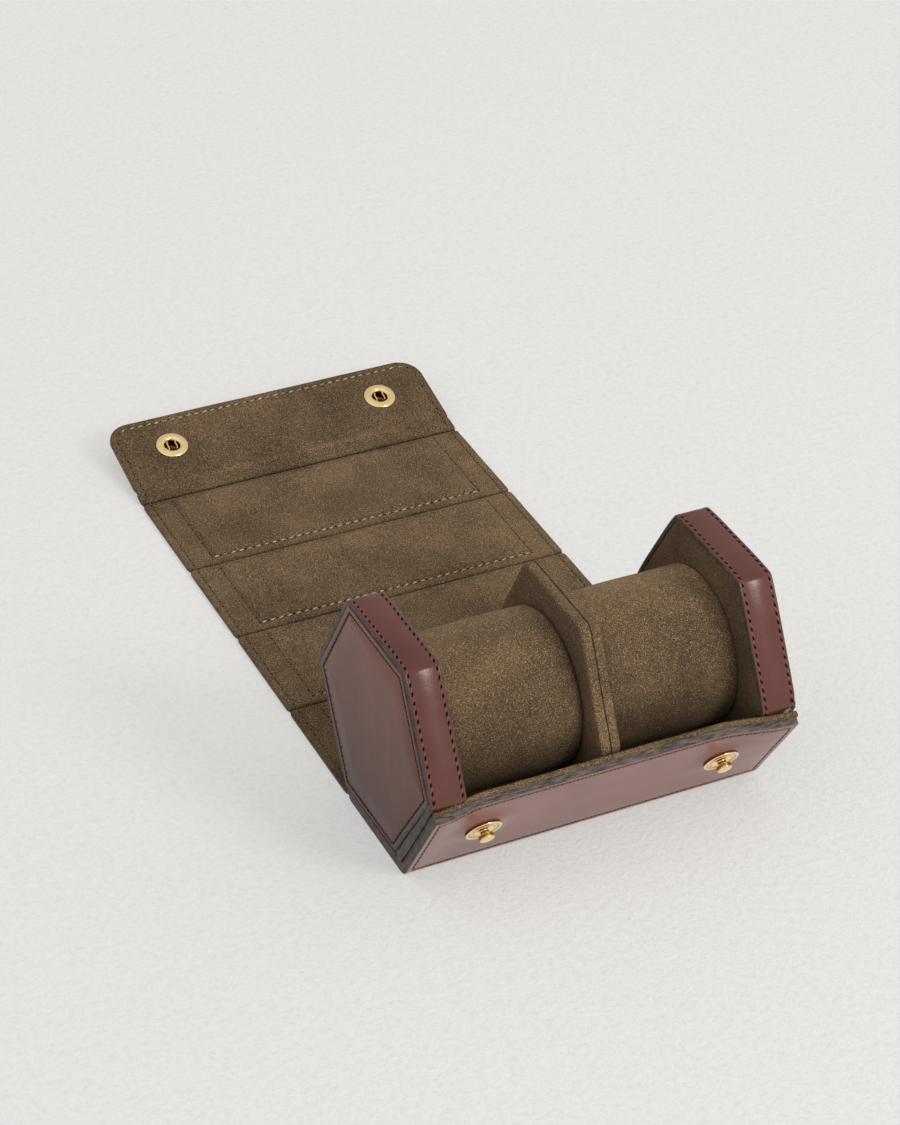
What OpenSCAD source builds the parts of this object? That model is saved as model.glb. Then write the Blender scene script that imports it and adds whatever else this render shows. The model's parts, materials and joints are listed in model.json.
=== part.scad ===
// Watch travel case: a hexagonal roll box for two watches, shown open.
// Two end caps, a divider and two cushions stand on the base. One sheet of
// lined leather runs from the front panel under the base and on as four
// folding lid panels and a flap, which lies flat behind the case when open.
// The origin is the centre of the base's resting face: +X runs along the
// case, +Y towards the laid-out lid, +Z up. Millimetres.

/* [Case] */
// Length over the outer faces of the two end caps
case_len = 140; // [110:1:220]
// Flat side of the hexagonal board in an end cap, at its top and bottom
hex_flat = 43; // [38:0.5:60]
// Slanted side of that board
hex_slant = 45.4; // [40:0.2:62]
// How far the wrap's side edges stay inside the end cap faces
wrap_inset = 1; // [0.4:0.1:3]

/* [End caps] */
// Width of the leather strip round an end cap
rim_w = 13.2; // [9:0.1:20]
// Thickness of that strip
rim_t = 1.8; // [1:0.1:3]
// Corner radius of the strip
rim_r = 3; // [1.5:0.1:6]
// Corner radius of the board inside the strip
core_r = 1.2; // [0.5:0.1:3]
// Thickness of the leather on the cap's face
face_t = 1.2; // [0.8:0.1:2]
// How far the face stands proud of the strip's edge
face_proud = 0.3; // [0:0.05:1]
// Gap between the face leather and the strip
face_gap = 0.35; // [0.1:0.05:1]
// How far the suede inside the cap lies below the strip's edge
lining_recess = 0.6; // [0.1:0.1:2]

/* [Wrap layers] */
// Thickness of the outer leather
leather_t = 1; // [0.8:0.05:1.6]
// Thickness of the suede lining
suede_t = 0.7; // [0.4:0.05:1.2]
// Board in the base and the front panel
base_board_t = 2.2; // [1.2:0.1:3]
// Board in the four lid panels
lid_board_t = 1.2; // [0.6:0.1:1.6]
// Board in the flap
flap_board_t = 0.5; // [0.3:0.1:1.2]

/* [Lid] */
// Gap between the closed lid and the end caps
lid_gap = 0.25; // [0.2:0.05:0.6]
// Running gap between two panels at a crease
crease_gap = 0.1; // [0.05:0.01:0.2]
// Distance of a lid board from the crease on the case's side
board_near = 5.6; // [3:0.1:9]
// Distance of a lid board from its other crease
board_far = 4.2; // [3:0.1:9]
// Gap between a lid board's padding and the end caps
pad_gap = 0.7; // [0.4:0.1:3]
// Width of the slope round a lid board's padding
pad_slope = 1; // [0.5:0.1:2]

/* [Flap] */
// Length of the flap beyond the last lid panel, neck included
flap_len = 44; // [36:0.5:47]
// Set of the leather where the neck leaves the last panel
neck_deg = 13.6; // [6:0.2:20]
// Corner radius of the flap
flap_r = 9.6; // [4:0.2:16]
// Distance of the flap's board from its edges
flap_margin = 4.5; // [3:0.1:6]

/* [Front panel] */
// Distance of the front panel's lip below the front corner
front_drop = 2.4; // [2:0.1:4]
// Lean of the lip's cut edge
lip_deg = 20; // [12:1:30]
// Inner radius of the fold between base and front panel
fold_r = 1; // [0.5:0.1:3]

/* [Divider] */
// Thickness of each of the two divider boards with its cover
divider_t = 3.8; // [2.6:0.1:6]
// Height of the divider above the base lining
divider_h = 79.5; // [60:0.5:80]
// Length of the divider's top edge
divider_top = 42.5; // [30:0.5:44]
// Width of the divider at its corners
divider_w = 83; // [70:0.5:88]
// Corner radius of the divider
divider_r = 5; // [2:0.5:8]

/* [Cushions] */
// Diameter of a cushion
cushion_d = 58.4; // [45:0.2:62]
// Rounding of its ends
cushion_r = 2.6; // [1:0.1:5]

/* [Snaps] */
// Distance between the two snaps
snap_pitch = 92; // [60:1:110]
// Distance of the snaps below the front corner
snap_drop = 23.5; // [18:0.5:28]
// Diameter of the stud's and the socket's disc
snap_d = 13.4; // [11:0.1:14.5]
// Thickness of the stud's disc
stud_disc_t = 0.5; // [0.4:0.05:1]
// Diameter of the stud's head
head_d = 5.2; // [4:0.1:6]
// Height of the head above its disc's underside
head_h = 3.8; // [3.4:0.1:4.2]
// Height of the head itself
head_t = 1.9; // [1.4:0.1:2]
// Diameter of the stud's neck
neck_d = 3; // [2:0.1:3.4]
// How far the socket stands proud of the suede
socket_t = 0.7; // [0.6:0.05:1]
// Play between the closed socket and the stud's disc
snap_play = 0.1; // [0.05:0.05:0.3]
// Play of the head inside the socket
head_play = 0.25; // [0.1:0.05:0.5]
// Wire diameter of the socket's spring
wire_d = 0.5; // [0.4:0.05:0.6]
// Height of the cap on the flap's outside
snap_cap_h = 1.6; // [1.2:0.1:2.2]
// Wall of that cap and of the rivets
snap_wall = 0.4; // [0.3:0.05:0.5]
// Diameter of the rivet behind a stud
rivet_d = 3; // [2.4:0.1:3.4]

/* [Hidden] */

burgundy = [0.36, 0.15, 0.15];
suede = [0.31, 0.25, 0.16];
board_grey = [0.55, 0.53, 0.5];
foam_white = [0.85, 0.84, 0.8];
brass = [0.85, 0.66, 0.3];

fold_deg = 60;                           // turn at each corner of the hexagon
half_len = case_len / 2;
wrap_w = case_len - 2 * wrap_inset;
margin_t = leather_t + suede_t;          // the wrap where it has no board
wrap_t = margin_t + base_board_t;        // base and front panel
hinge_h = leather_t / 2;                 // a crease turns about mid leather

// A cap's outlines are offsets of one hexagon: its board is at offset -rim_t and
// its strip at 0. These are the strip's distances from the centre line.
rim_top = hex_slant * sin(60) + rim_t;   // to the top and the bottom
rim_a = (hex_flat + hex_slant) / 2 * cos(30) + rim_t;  // to the four slanted sides
corner_s = rim_a / sqrt(3);              // from a slanted side's foot to the front corner
centre_z = wrap_t + rim_top;             // height of the hexagon's centre
function flat_half(offset) = (rim_a + offset - (rim_top + offset) / 2) / cos(30);

// The closed lid's creases lie on a hexagon of offset lid_out.
lid_out = lid_gap + margin_t - hinge_h;
hinge_a = rim_a + lid_out;
slant_len = (rim_top + lid_out) / sin(60);
top_len = 2 * flat_half(lid_out);
// The first crease lies at floor level on the line of the closed lower back panel.
crease_y = (hinge_a + (hinge_h - centre_z) / 2) / cos(30);
lower_back_len = norm([hinge_a / cos(30) - crease_y, centre_z - hinge_h]);
panel_y = [crease_y,
           crease_y + lower_back_len,
           crease_y + lower_back_len + slant_len,
           crease_y + lower_back_len + slant_len + top_len];

// Closed, the flap lies over the front panel and its two snap discs.
snap_gap = stud_disc_t + socket_t + snap_play;
flap_t = margin_t + flap_board_t;
flap_a = rim_a + wrap_t + snap_gap + flap_t - hinge_h;
flap_close_deg = fold_deg - neck_deg;
neck_len = (flap_a - hinge_a) / sin(flap_close_deg);
flap_plate_len = flap_len - neck_len;
// Along the closed flap, the neck ends this far below the strip's front corner.
neck_drop = neck_len * cos(flap_close_deg) - lid_out * tan(30);
socket_s = snap_drop - neck_drop;

pad_half = half_len - face_proud - rim_w - pad_gap;
cap_inner_x = half_len - face_proud - rim_w + lining_recess;
cushion_len = cap_inner_x - divider_t;
front_board_end = wrap_t - suede_t;      // depth of the leather under base and front
lower_start = (wrap_t - hinge_h) / cos(30) + pad_slope;  // clear of the base's back edge

disc_rim = 0.9;                          // raised rim of a stud's disc
disc_dish = 0.15;                        // depth of the dish inside it
collar_w = 0.8;                          // collar round a stud's neck
rivet_flange_d = 2 * rivet_d;
socket_bore_d = head_d + 2 * head_play;
socket_tube_d = socket_bore_d + 2 * snap_wall;
socket_rim = 1.4;                        // raised rim of a socket's disc
socket_dish = 0.2;                       // depth of the groove inside it
socket_lip = 0.4;                        // between that groove and the springs
spring_x = neck_d / 2 + snap_play + wire_d / 2;
socket_h0 = hinge_h + flap_board_t + suede_t;  // underside of a socket's disc

round_n = 6;                             // steps in a rounded corner
fold_n = 8;                              // steps in the fold below the front panel
eps = 0.01;

// ---------------------------------------------------------------- outlines

// A convex outline with its corners rounded, as points.
function rounded(p, r) = let (n = len(p)) [
    for (i = [0 : n - 1])
        let (a = p[(i + n - 1) % n] - p[i], b = p[(i + 1) % n] - p[i],
             ua = a / norm(a), ub = b / norm(b),
             half = acos(ua * ub) / 2,
             mid = (ua + ub) / norm(ua + ub),
             c = p[i] + mid * r / sin(half),
             ta = p[i] + ua * r / tan(half) - c,
             tb = p[i] + ub * r / tan(half) - c,
             a0 = atan2(ta.y, ta.x),
             turn = (atan2(tb.y, tb.x) - a0 + 540) % 360 - 180)
        for (k = [0 : round_n])
            c + r * [cos(a0 + turn * k / round_n), sin(a0 + turn * k / round_n)]];

// A hexagon standing on one side, in the Y-Z plane, about the case's centre line.
function hexagon(offset) = let (y = (rim_a + offset) / cos(30), yt = flat_half(offset),
                                zt = rim_top + offset)
    [[y, 0], [yt, zt], [-yt, zt], [-y, 0], [-yt, -zt], [yt, -zt]];

// Draws an outline of the Y-Z plane and extrudes it from x0 to x1.
module along_x(x0, x1) {
    translate([x0, 0, 0]) rotate([90, 0, 90]) linear_extrude(x1 - x0) children();
}

module across(w) { along_x(-w / 2, w / 2) children(); }

module hex_plate(x0, x1, offset, r) {
    translate([0, 0, centre_z]) along_x(x0, x1) polygon(rounded(hexagon(offset), r));
}

// Local frame of the front panel: +Y up its slope, +Z out of the case.
module on_front() { translate([0, 0, centre_z]) rotate([120, 0, 0]) children(); }

module both_snaps() { for (x = [-1, 1] * snap_pitch / 2) translate([x, 0, 0]) children(); }

// ---------------------------------------------------- base and front panel

// One face of the wrap at a depth, measured outwards from its inside: from the back of
// the base, round the fold and up the front panel to the lip.
function wrap_line(d, back_y) =
    let (bend = [-flat_half(-fold_r), centre_z - rim_top + fold_r],
         s = corner_s - front_drop - d * tan(lip_deg))
    concat([[back_y, wrap_t - d]],
           [for (k = [0 : fold_n]) let (a = fold_deg * k / fold_n)
               bend - (fold_r + d) * [sin(a), cos(a)]],
           [[0, centre_z] + s * [-sin(30), cos(30)] - (rim_a + d) * [cos(30), sin(30)]]);

// The layer between depths d0 and d1.
module wrap_layer(d0, d1, back_y0, back_y1) {
    inner = wrap_line(d0, back_y0);
    polygon(concat(wrap_line(d1, back_y1), [for (i = [len(inner) - 1 : -1 : 0]) inner[i]]));
}

// Back end of a base layer at a height, clear of the closed lower back panel.
function base_back_y(z) = (rim_a + lid_gap + (z - centre_z) / 2) / cos(30) - 2 * crease_gap;

// Parts the base from the front panel along the middle of their fold.
module fold_side(front) {
    big = 3 * case_len;
    corner = [-flat_half(0), wrap_t];
    dir = [-cos(60), -sin(60)];
    translate(corner) polygon(front
        ? [big * dir, -big * dir, [-big, big]]
        : [big * dir, -big * dir, [big, -big]]);
}

module wrap_leather() {
    color(burgundy) difference() {
        across(wrap_w) difference() {
            wrap_layer(wrap_t - leather_t, wrap_t, crease_y, crease_y);
            translate([crease_y, hinge_h]) circle(r = hinge_h + crease_gap, $fn = 32);
        }
        on_front() translate([0, corner_s - snap_drop, 0]) both_snaps()
            cylinder(d = rivet_d, h = 2 * rim_a, $fn = 32);
    }
}

module wrap_board(front) {
    across(wrap_w) intersection() {
        wrap_layer(suede_t, suede_t + base_board_t,
                   base_back_y(front_board_end), base_back_y(leather_t));
        fold_side(front);
    }
}

module base_board() { color(board_grey) wrap_board(false); }

module front_board() {
    color(board_grey) difference() {
        wrap_board(true);
        on_front() translate([0, corner_s - snap_drop, 0]) both_snaps() {
            cylinder(d = rivet_d, h = 2 * rim_a, $fn = 32);
            translate([0, 0, rim_a + suede_t - eps])
                cylinder(d = rivet_flange_d, h = snap_wall + eps, $fn = 48);
        }
    }
}

module base_lining() {
    color(suede) across(wrap_w)
        wrap_layer(0, suede_t, base_back_y(wrap_t), base_back_y(front_board_end));
}

// ---------------------------------------------------------------- end caps

// Each cap piece is drawn at the right end; side -1 mirrors it to the left.
module at_side(side) { mirror([side < 0 ? 1 : 0, 0, 0]) children(); }

module cap_core(side) {
    color(board_grey) at_side(side)
        hex_plate(cap_inner_x + suede_t, half_len - face_t, -rim_t, core_r);
}

module cap_face(side) {
    color(burgundy) at_side(side)
        hex_plate(half_len - face_t, half_len, -rim_t - face_gap, core_r);
}

module cap_rim(side) {
    x1 = half_len - face_proud;
    color(burgundy) at_side(side) difference() {
        hex_plate(x1 - rim_w, x1, 0, rim_r);
        hex_plate(x1 - rim_w - 1, x1 + 1, -rim_t, core_r);
    }
}

module cap_lining(side) {
    color(suede) at_side(side)
        hex_plate(cap_inner_x, cap_inner_x + suede_t, -rim_t, core_r);
}

// ----------------------------------------------------------------- divider

function divider_outline(inset) = rounded([
    [-divider_top / 2 + inset, -divider_h / 2],
    [divider_top / 2 - inset, -divider_h / 2],
    [divider_w / 2 - inset, 0],
    [divider_top / 2 - inset / 2, divider_h / 2 - inset],
    [-divider_top / 2 + inset / 2, divider_h / 2 - inset],
    [-divider_w / 2 + inset, 0]], divider_r - inset);

module divider_plate(x0, x1, inset) {
    translate([0, 0, wrap_t + divider_h / 2]) along_x(x0, x1) polygon(divider_outline(inset));
}

module divider_board(side) {
    color(board_grey) at_side(side) divider_plate(suede_t, divider_t - suede_t, suede_t);
}

module divider_cover(side) {
    color(suede) at_side(side) difference() {
        divider_plate(0, divider_t, 0);
        divider_plate(suede_t, divider_t - suede_t, suede_t);
    }
}

// ---------------------------------------------------------------- cushions

module on_cushion(side) {
    at_side(side) translate([divider_t, 0, centre_z]) rotate([0, 90, 0]) children();
}

// Half the section of a cylinder with rounded ends.
module rounded_drum(r, z0, z1, rr) {
    translate([0, z0]) square([r - rr, z1 - z0]);
    translate([0, z0 + rr]) square([r, z1 - z0 - 2 * rr]);
    for (z = [z0 + rr, z1 - rr]) translate([r - rr, z]) circle(r = rr, $fn = 32);
}

module cushion_core(side) {
    color(foam_white) on_cushion(side) rotate_extrude($fn = 96)
        rounded_drum(cushion_d / 2 - suede_t, suede_t, cushion_len - suede_t, cushion_r - suede_t);
}

// A suede sleeve, turned in round both ends.
module cushion_cover(side) {
    r = cushion_d / 2;
    color(suede) on_cushion(side) rotate_extrude($fn = 96) difference() {
        rounded_drum(r, 0, cushion_len, cushion_r);
        rounded_drum(r - suede_t, suede_t, cushion_len - suede_t, cushion_r - suede_t);
        translate([-1, -1]) square([1 + r - cushion_r, cushion_len + 2]);
    }
}

module cushion_ends(side) {
    color(suede) on_cushion(side) for (z = [0, cushion_len - suede_t])
        translate([0, 0, z]) cylinder(r = cushion_d / 2 - cushion_r, h = suede_t, $fn = 96);
}

// -------------------------------------------------------------- lid panels

// A panel is drawn along +Y from its first crease, which is the X axis here,
// with the leather about Z = 0 and the lining above it.
module at_panel(i) { translate([0, panel_y[i], hinge_h]) children(); }

module panel_leather(len) {
    color(burgundy) across(wrap_w) difference() {
        union() {
            circle(r = hinge_h, $fn = 32);
            translate([0, -hinge_h]) square([len, leather_t]);
        }
        translate([len, 0]) circle(r = hinge_h + crease_gap, $fn = 32);
    }
}

module panel_board(len, start) {
    color(board_grey) translate([-pad_half, start, hinge_h])
        cube([2 * pad_half, len - start - board_far, lid_board_t]);
}

// Distance that a layer at height h keeps from a crease that folds to fold_deg.
function mitre(h) = h * tan(fold_deg / 2) + crease_gap;

// The raised part over a board, sloping to the margins on all four sides.
module padding(x_half, s0, s1, h0, h1, slope) {
    intersection() {
        across(2 * x_half + 2) polygon([[s0 - slope, h0], [s1 + slope, h0], [s1, h1], [s0, h1]]);
        translate([0, s1 + slope + 1, 0]) rotate([90, 0, 0]) linear_extrude(s1 - s0 + 2 * slope + 2)
            polygon([[-x_half - slope, h0], [x_half + slope, h0], [x_half, h1], [-x_half, h1]]);
    }
}

module panel_lining(len, start) {
    h0 = hinge_h;
    h1 = hinge_h + suede_t;
    color(suede) difference() {
        union() {
            across(wrap_w) polygon([[mitre(h0), h0], [len - mitre(h0), h0],
                                    [len - mitre(h1), h1], [mitre(h1), h1]]);
            padding(pad_half + suede_t - pad_slope, start - suede_t + pad_slope,
                    len - board_far + suede_t - pad_slope, h0, h1 + lid_board_t, pad_slope);
        }
        translate([-pad_half, start, h0]) cube([2 * pad_half, len - start - board_far, lid_board_t]);
    }
}

module lower_back_leather() { at_panel(0) panel_leather(lower_back_len); }
module lower_back_board() { at_panel(0) panel_board(lower_back_len, lower_start); }
module lower_back_lining() { at_panel(0) panel_lining(lower_back_len, lower_start); }
module upper_back_leather() { at_panel(1) panel_leather(slant_len); }
module upper_back_board() { at_panel(1) panel_board(slant_len, board_near); }
module upper_back_lining() { at_panel(1) panel_lining(slant_len, board_near); }
module top_leather() { at_panel(2) panel_leather(top_len); }
module top_board() { at_panel(2) panel_board(top_len, board_near); }
module top_lining() { at_panel(2) panel_lining(top_len, board_near); }

// The last panel carries the neck, which has taken a set and stands up a little.
module neck_frame() { translate([0, slant_len, 0]) rotate([neck_deg, 0, 0]) children(); }

module upper_front_leather() {
    at_panel(3) color(burgundy) across(wrap_w) difference() {
        union() {
            circle(r = hinge_h, $fn = 32);
            translate([0, -hinge_h]) square([slant_len, leather_t]);
            translate([slant_len, 0]) circle(r = hinge_h, $fn = 32);
            translate([slant_len, 0]) rotate(neck_deg) translate([0, -hinge_h])
                square([neck_len, leather_t]);
        }
        translate([slant_len, 0]) rotate(neck_deg) translate([neck_len, 0])
            circle(r = hinge_h + crease_gap, $fn = 32);
    }
}

module upper_front_board() { at_panel(3) panel_board(slant_len, board_near); }

module upper_front_lining() {
    h0 = hinge_h;
    h1 = hinge_h + suede_t;
    bend0 = h0 * tan(neck_deg / 2);
    bend1 = h1 * tan(neck_deg / 2);
    end = function (h) neck_len - h * tan(flap_close_deg / 2) - crease_gap;
    at = function (s, h) [slant_len + s * cos(neck_deg) - h * sin(neck_deg),
                          s * sin(neck_deg) + h * cos(neck_deg)];
    at_panel(3) color(suede) difference() {
        union() {
            across(wrap_w) polygon([[mitre(h0), h0], [slant_len - bend0, h0], at(end(h0), h0),
                                    at(end(h1), h1), [slant_len - bend1, h1], [mitre(h1), h1]]);
            padding(pad_half + suede_t - pad_slope, board_near - suede_t + pad_slope,
                    slant_len - board_far + suede_t - pad_slope,
                    h0, h1 + lid_board_t, pad_slope);
        }
        translate([-pad_half, board_near, h0])
            cube([2 * pad_half, slant_len - board_near - board_far, lid_board_t]);
    }
}

// -------------------------------------------------------------------- flap

// Drawn as the lid panels are, from the crease at the neck's end.
module at_flap() {
    at_panel(3) neck_frame() translate([0, neck_len, 0]) children();
}

// Outline of a flap layer from s0 to its end, with an inset from the edges.
module flap_outline(inset) {
    w = wrap_w / 2 - inset;
    s1 = flap_plate_len - inset;
    r = max(flap_r - inset, 1);
    polygon(concat([[w, -flap_r], [w, s1 - r]],
                   [for (k = [1 : round_n]) let (a = 90 * k / round_n)
                       [w - r, s1 - r] + r * [cos(a), sin(a)]],
                   [for (k = [0 : round_n]) let (a = 90 * k / round_n)
                       [r - w, s1 - r] + r * [-sin(a), cos(a)]],
                   [[-w, -flap_r]]));
}

module flap_holes(d) {
    translate([0, socket_s, -flap_t]) both_snaps() cylinder(d = d, h = 4 * flap_t, $fn = 48);
}

module flap_leather() {
    color(burgundy) at_flap() difference() {
        intersection() {
            across(wrap_w) union() {
                circle(r = hinge_h, $fn = 32);
                translate([0, -hinge_h]) square([flap_plate_len, leather_t]);
            }
            translate([0, 0, -leather_t]) linear_extrude(2 * leather_t) flap_outline(0);
        }
        flap_holes(socket_tube_d);
    }
}

module flap_board_solid() {
    intersection() {
        translate([-wrap_w, flap_margin, hinge_h]) cube([2 * wrap_w, flap_plate_len, flap_board_t]);
        linear_extrude(4 * flap_t) flap_outline(flap_margin);
    }
}

module flap_board() {
    color(board_grey) at_flap() difference() {
        flap_board_solid();
        flap_holes(socket_tube_d);
    }
}

module flap_lining() {
    h0 = hinge_h;
    h1 = hinge_h + suede_t;
    cut = function (h) h * tan(flap_close_deg / 2) + crease_gap;
    color(suede) at_flap() difference() {
        union() {
            intersection() {
                across(wrap_w) polygon([[cut(h0), h0], [flap_plate_len, h0], [flap_plate_len, h1],
                                        [cut(h1), h1]]);
                linear_extrude(2 * flap_t) flap_outline(0);
            }
            intersection() {
                translate([-wrap_w, flap_margin - suede_t, h0])
                    cube([2 * wrap_w, flap_plate_len, suede_t + flap_board_t]);
                linear_extrude(2 * flap_t) flap_outline(flap_margin - suede_t);
            }
        }
        flap_board_solid();
        flap_holes(socket_tube_d);
    }
}

// ------------------------------------------------------------------- snaps

// A disc with a raised rim, a neck and a flat-topped round head.
module studs() {
    color(brass) on_front() translate([0, corner_s - snap_drop, rim_a + wrap_t]) both_snaps()
        rotate_extrude($fn = 48) union() {
            difference() {
                square([snap_d / 2 - stud_disc_t / 2, stud_disc_t]);
                translate([neck_d / 2 + collar_w, stud_disc_t - disc_dish])
                    square([snap_d / 2 - neck_d / 2 - collar_w - disc_rim, stud_disc_t]);
            }
            translate([snap_d / 2 - stud_disc_t / 2, stud_disc_t / 2])
                circle(d = stud_disc_t, $fn = 24);
            square([neck_d / 2, head_h - head_t / 2]);
            intersection() {
                translate([0, head_h - head_t]) square([head_d, head_t]);
                translate([head_d / 2 - head_t / 2, head_h - head_t / 2]) circle(d = head_t, $fn = 32);
            }
            translate([0, head_h - head_t]) square([head_d / 2 - head_t / 2, head_t]);
        }
}

// The rivet that holds a stud: a post through the panel and a flange under the suede.
module stud_rivets() {
    color(brass) on_front() translate([0, corner_s - snap_drop, rim_a + suede_t]) both_snaps()
        union() {
            cylinder(d = rivet_d, h = wrap_t - suede_t, $fn = 32);
            cylinder(d = rivet_flange_d, h = snap_wall, $fn = 48);
        }
}

module on_sockets() { at_flap() translate([0, socket_s, 0]) both_snaps() children(); }

// A disc with a raised rim on the suede and a tube through the flap.
module sockets() {
    groove_r = socket_tube_d / 2 + wire_d + socket_lip;
    color(brass) on_sockets() rotate_extrude($fn = 48) difference() {
        union() {
            translate([0, socket_h0]) square([snap_d / 2 - socket_t / 2, socket_t]);
            translate([snap_d / 2 - socket_t / 2, socket_h0 + socket_t / 2])
                circle(d = socket_t, $fn = 24);
            translate([0, -hinge_h]) square([socket_tube_d / 2, socket_h0 + hinge_h + eps]);
        }
        translate([-1, -flap_t]) square([1 + socket_bore_d / 2, 4 * flap_t]);
        translate([groove_r, socket_h0 + socket_t - socket_dish])
            square([snap_d / 2 - groove_r - socket_rim, socket_t]);
    }
}

// Each socket's spring: two wires that close on the stud's neck.
module socket_springs() {
    reach = sqrt(pow(socket_bore_d / 2, 2) - pow(spring_x + wire_d / 2, 2));
    color(brass) on_sockets() for (m = [-1, 1])
        translate([m * spring_x, 0, socket_h0 + socket_t / 2])
            rotate([90, 0, 0]) cylinder(d = wire_d, h = 2 * reach, center = true, $fn = 16);
}

// The domed cap on the flap's outside, hollow for the stud's head.
module socket_caps() {
    r = snap_d / 2 - snap_wall;
    dome = (r * r + snap_cap_h * snap_cap_h) / (2 * snap_cap_h);
    color(brass) on_sockets() translate([0, 0, -hinge_h]) mirror([0, 0, 1])
        rotate_extrude($fn = 48) difference() {
            intersection() {
                translate([0, snap_cap_h - dome]) circle(r = dome, $fn = 180);
                square([r, snap_cap_h]);
            }
            translate([-1, -1]) square([1 + socket_bore_d / 2, 1 + snap_cap_h - snap_wall]);
        }
}

// ------------------------------------------------------------------ output

wrap_leather();
base_board();
front_board();
base_lining();
cap_core(-1);  // left_cap_core
cap_face(-1);  // left_cap_face
cap_rim(-1);  // left_cap_rim
cap_lining(-1);  // left_cap_lining
cap_core(1);  // right_cap_core
cap_face(1);  // right_cap_face
cap_rim(1);  // right_cap_rim
cap_lining(1);  // right_cap_lining
divider_board(-1);  // left_divider_board
divider_cover(-1);  // left_divider_cover
divider_board(1);  // right_divider_board
divider_cover(1);  // right_divider_cover
cushion_core(-1);  // left_cushion_core
cushion_cover(-1);  // left_cushion_cover
cushion_ends(-1);  // left_cushion_ends
cushion_core(1);  // right_cushion_core
cushion_cover(1);  // right_cushion_cover
cushion_ends(1);  // right_cushion_ends
studs();
stud_rivets();
lower_back_leather();
lower_back_board();
lower_back_lining();
upper_back_leather();
upper_back_board();
upper_back_lining();
top_leather();
top_board();
top_lining();
upper_front_leather();
upper_front_board();
upper_front_lining();
flap_leather();
flap_board();
flap_lining();
sockets();
socket_springs();
socket_caps();
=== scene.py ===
# %% [markdown]
# # A hexagonal travel case for two watches
# The case is burgundy leather outside and olive-brown suede inside. It stands open:
# two end caps, a divider and two cushions on the base, and the lid laid out behind.
# The CAD model is the fixed frame. Each step below dresses one piece of it, and
# works in millimetres until a piece is finished.

# %% The frame
import json
import math

import bmesh
import bpy
from mathutils import Matrix, Vector, noise


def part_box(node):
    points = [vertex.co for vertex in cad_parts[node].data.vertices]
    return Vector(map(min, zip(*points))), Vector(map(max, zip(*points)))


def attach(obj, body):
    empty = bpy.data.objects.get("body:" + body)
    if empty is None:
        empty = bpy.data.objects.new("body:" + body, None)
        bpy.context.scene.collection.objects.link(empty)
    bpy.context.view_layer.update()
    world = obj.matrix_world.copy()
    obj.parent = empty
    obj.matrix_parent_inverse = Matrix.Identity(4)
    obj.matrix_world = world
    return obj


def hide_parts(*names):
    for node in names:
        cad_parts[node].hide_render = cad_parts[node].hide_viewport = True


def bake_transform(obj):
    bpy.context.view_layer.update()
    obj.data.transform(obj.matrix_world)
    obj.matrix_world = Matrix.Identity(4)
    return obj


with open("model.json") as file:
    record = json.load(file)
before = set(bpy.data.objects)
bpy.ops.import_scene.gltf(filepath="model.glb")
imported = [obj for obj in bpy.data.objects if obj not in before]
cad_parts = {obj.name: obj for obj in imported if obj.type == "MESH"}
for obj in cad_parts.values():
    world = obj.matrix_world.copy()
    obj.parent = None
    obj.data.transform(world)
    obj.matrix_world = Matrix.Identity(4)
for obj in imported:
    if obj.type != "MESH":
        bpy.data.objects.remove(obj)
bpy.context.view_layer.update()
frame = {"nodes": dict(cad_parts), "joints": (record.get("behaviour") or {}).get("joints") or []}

MM = 0.001
noise.seed_set(7)                 # noise_vector differs from run to run without a seed

# %% [markdown]
# ## Measures
# A dressing only fits when it starts from the solid it covers. So the sizes are read
# from the CAD boxes and hinges, and only thicknesses and small offsets are typed in.
# The hexagon is a little taller than a regular one. Its lower front side carries the
# front panel, so points there are measured up the slope and outwards from it.

# %% Measures from the frame


def cad_box(node):
    """Lowest and highest corner of a CAD node, in millimetres."""
    low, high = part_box(node)
    return low / MM, high / MM


def in_and_out(side, node):
    """X of the face of a piece that looks into the case, and of the one that looks out."""
    low, high = cad_box(node)
    return (high.x, low.x) if side < 0 else (low.x, high.x)


SIDES = ((-1, "left"), (1, "right"))
COS30 = math.cos(math.pi / 6)
CORNER_R = 3.0                    # corners of a cap's leather strip
CORE_R = 1.2                      # corners of the board inside the strip
STRIP_T = 1.8                     # thickness of that strip
LEATHER_T = 1.0
SUEDE_T = 0.7
crease = {j["name"]: Vector(j["pos_m"]) / MM for j in frame["joints"]}
HINGE_H = crease["back_crease"].z             # middle of the leather over the table
strip_low, strip_high = cad_box("right_cap_rim")
WRAP_T = strip_low.z                          # leather, board and suede together
wrap_half = cad_box("wrap_leather")[1].x
mid_z = (strip_low.z + strip_high.z) / 2
AXIS = Vector((0, 0, mid_z))
top_a = (strip_high.z - strip_low.z) / 2      # from the axis to the top side
slant_a = (strip_high.y + CORNER_R * (1 / COS30 - 1)) * COS30    # and to a slanted side
corner_s = slant_a / math.sqrt(3)   # front corner above the foot of a slanted side
FRONT_OUT = Vector((0, -COS30, -0.5))
FRONT_UP = Vector((0, -0.5, COS30))


def front_s(co):
    """How far up the slope of the lower front side a point lies."""
    return Vector((0, co.y, co.z - mid_z)).dot(FRONT_UP)


def front_depth(co):
    """How far outside the lower front side a point lies."""
    return Vector((0, co.y, co.z - mid_z)).dot(FRONT_OUT) - slant_a


print(f"hexagon {2 * top_a:.1f} mm high, wrap {2 * wrap_half:.1f} mm wide")

# %% [markdown]
# Three small curves are used all over: a soft step, a soft bump, and an arc.

# %% Curves


def smooth(t):
    """A soft step: 0 up to t = 0, 1 from t = 1."""
    t = max(0.0, min(1.0, t))
    return t * t * (3 - 2 * t)


def bell(gap, width):
    """A soft bump: 1 in the middle, nearly 0 at twice the width."""
    return math.exp(-(gap / width) ** 2)


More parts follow.
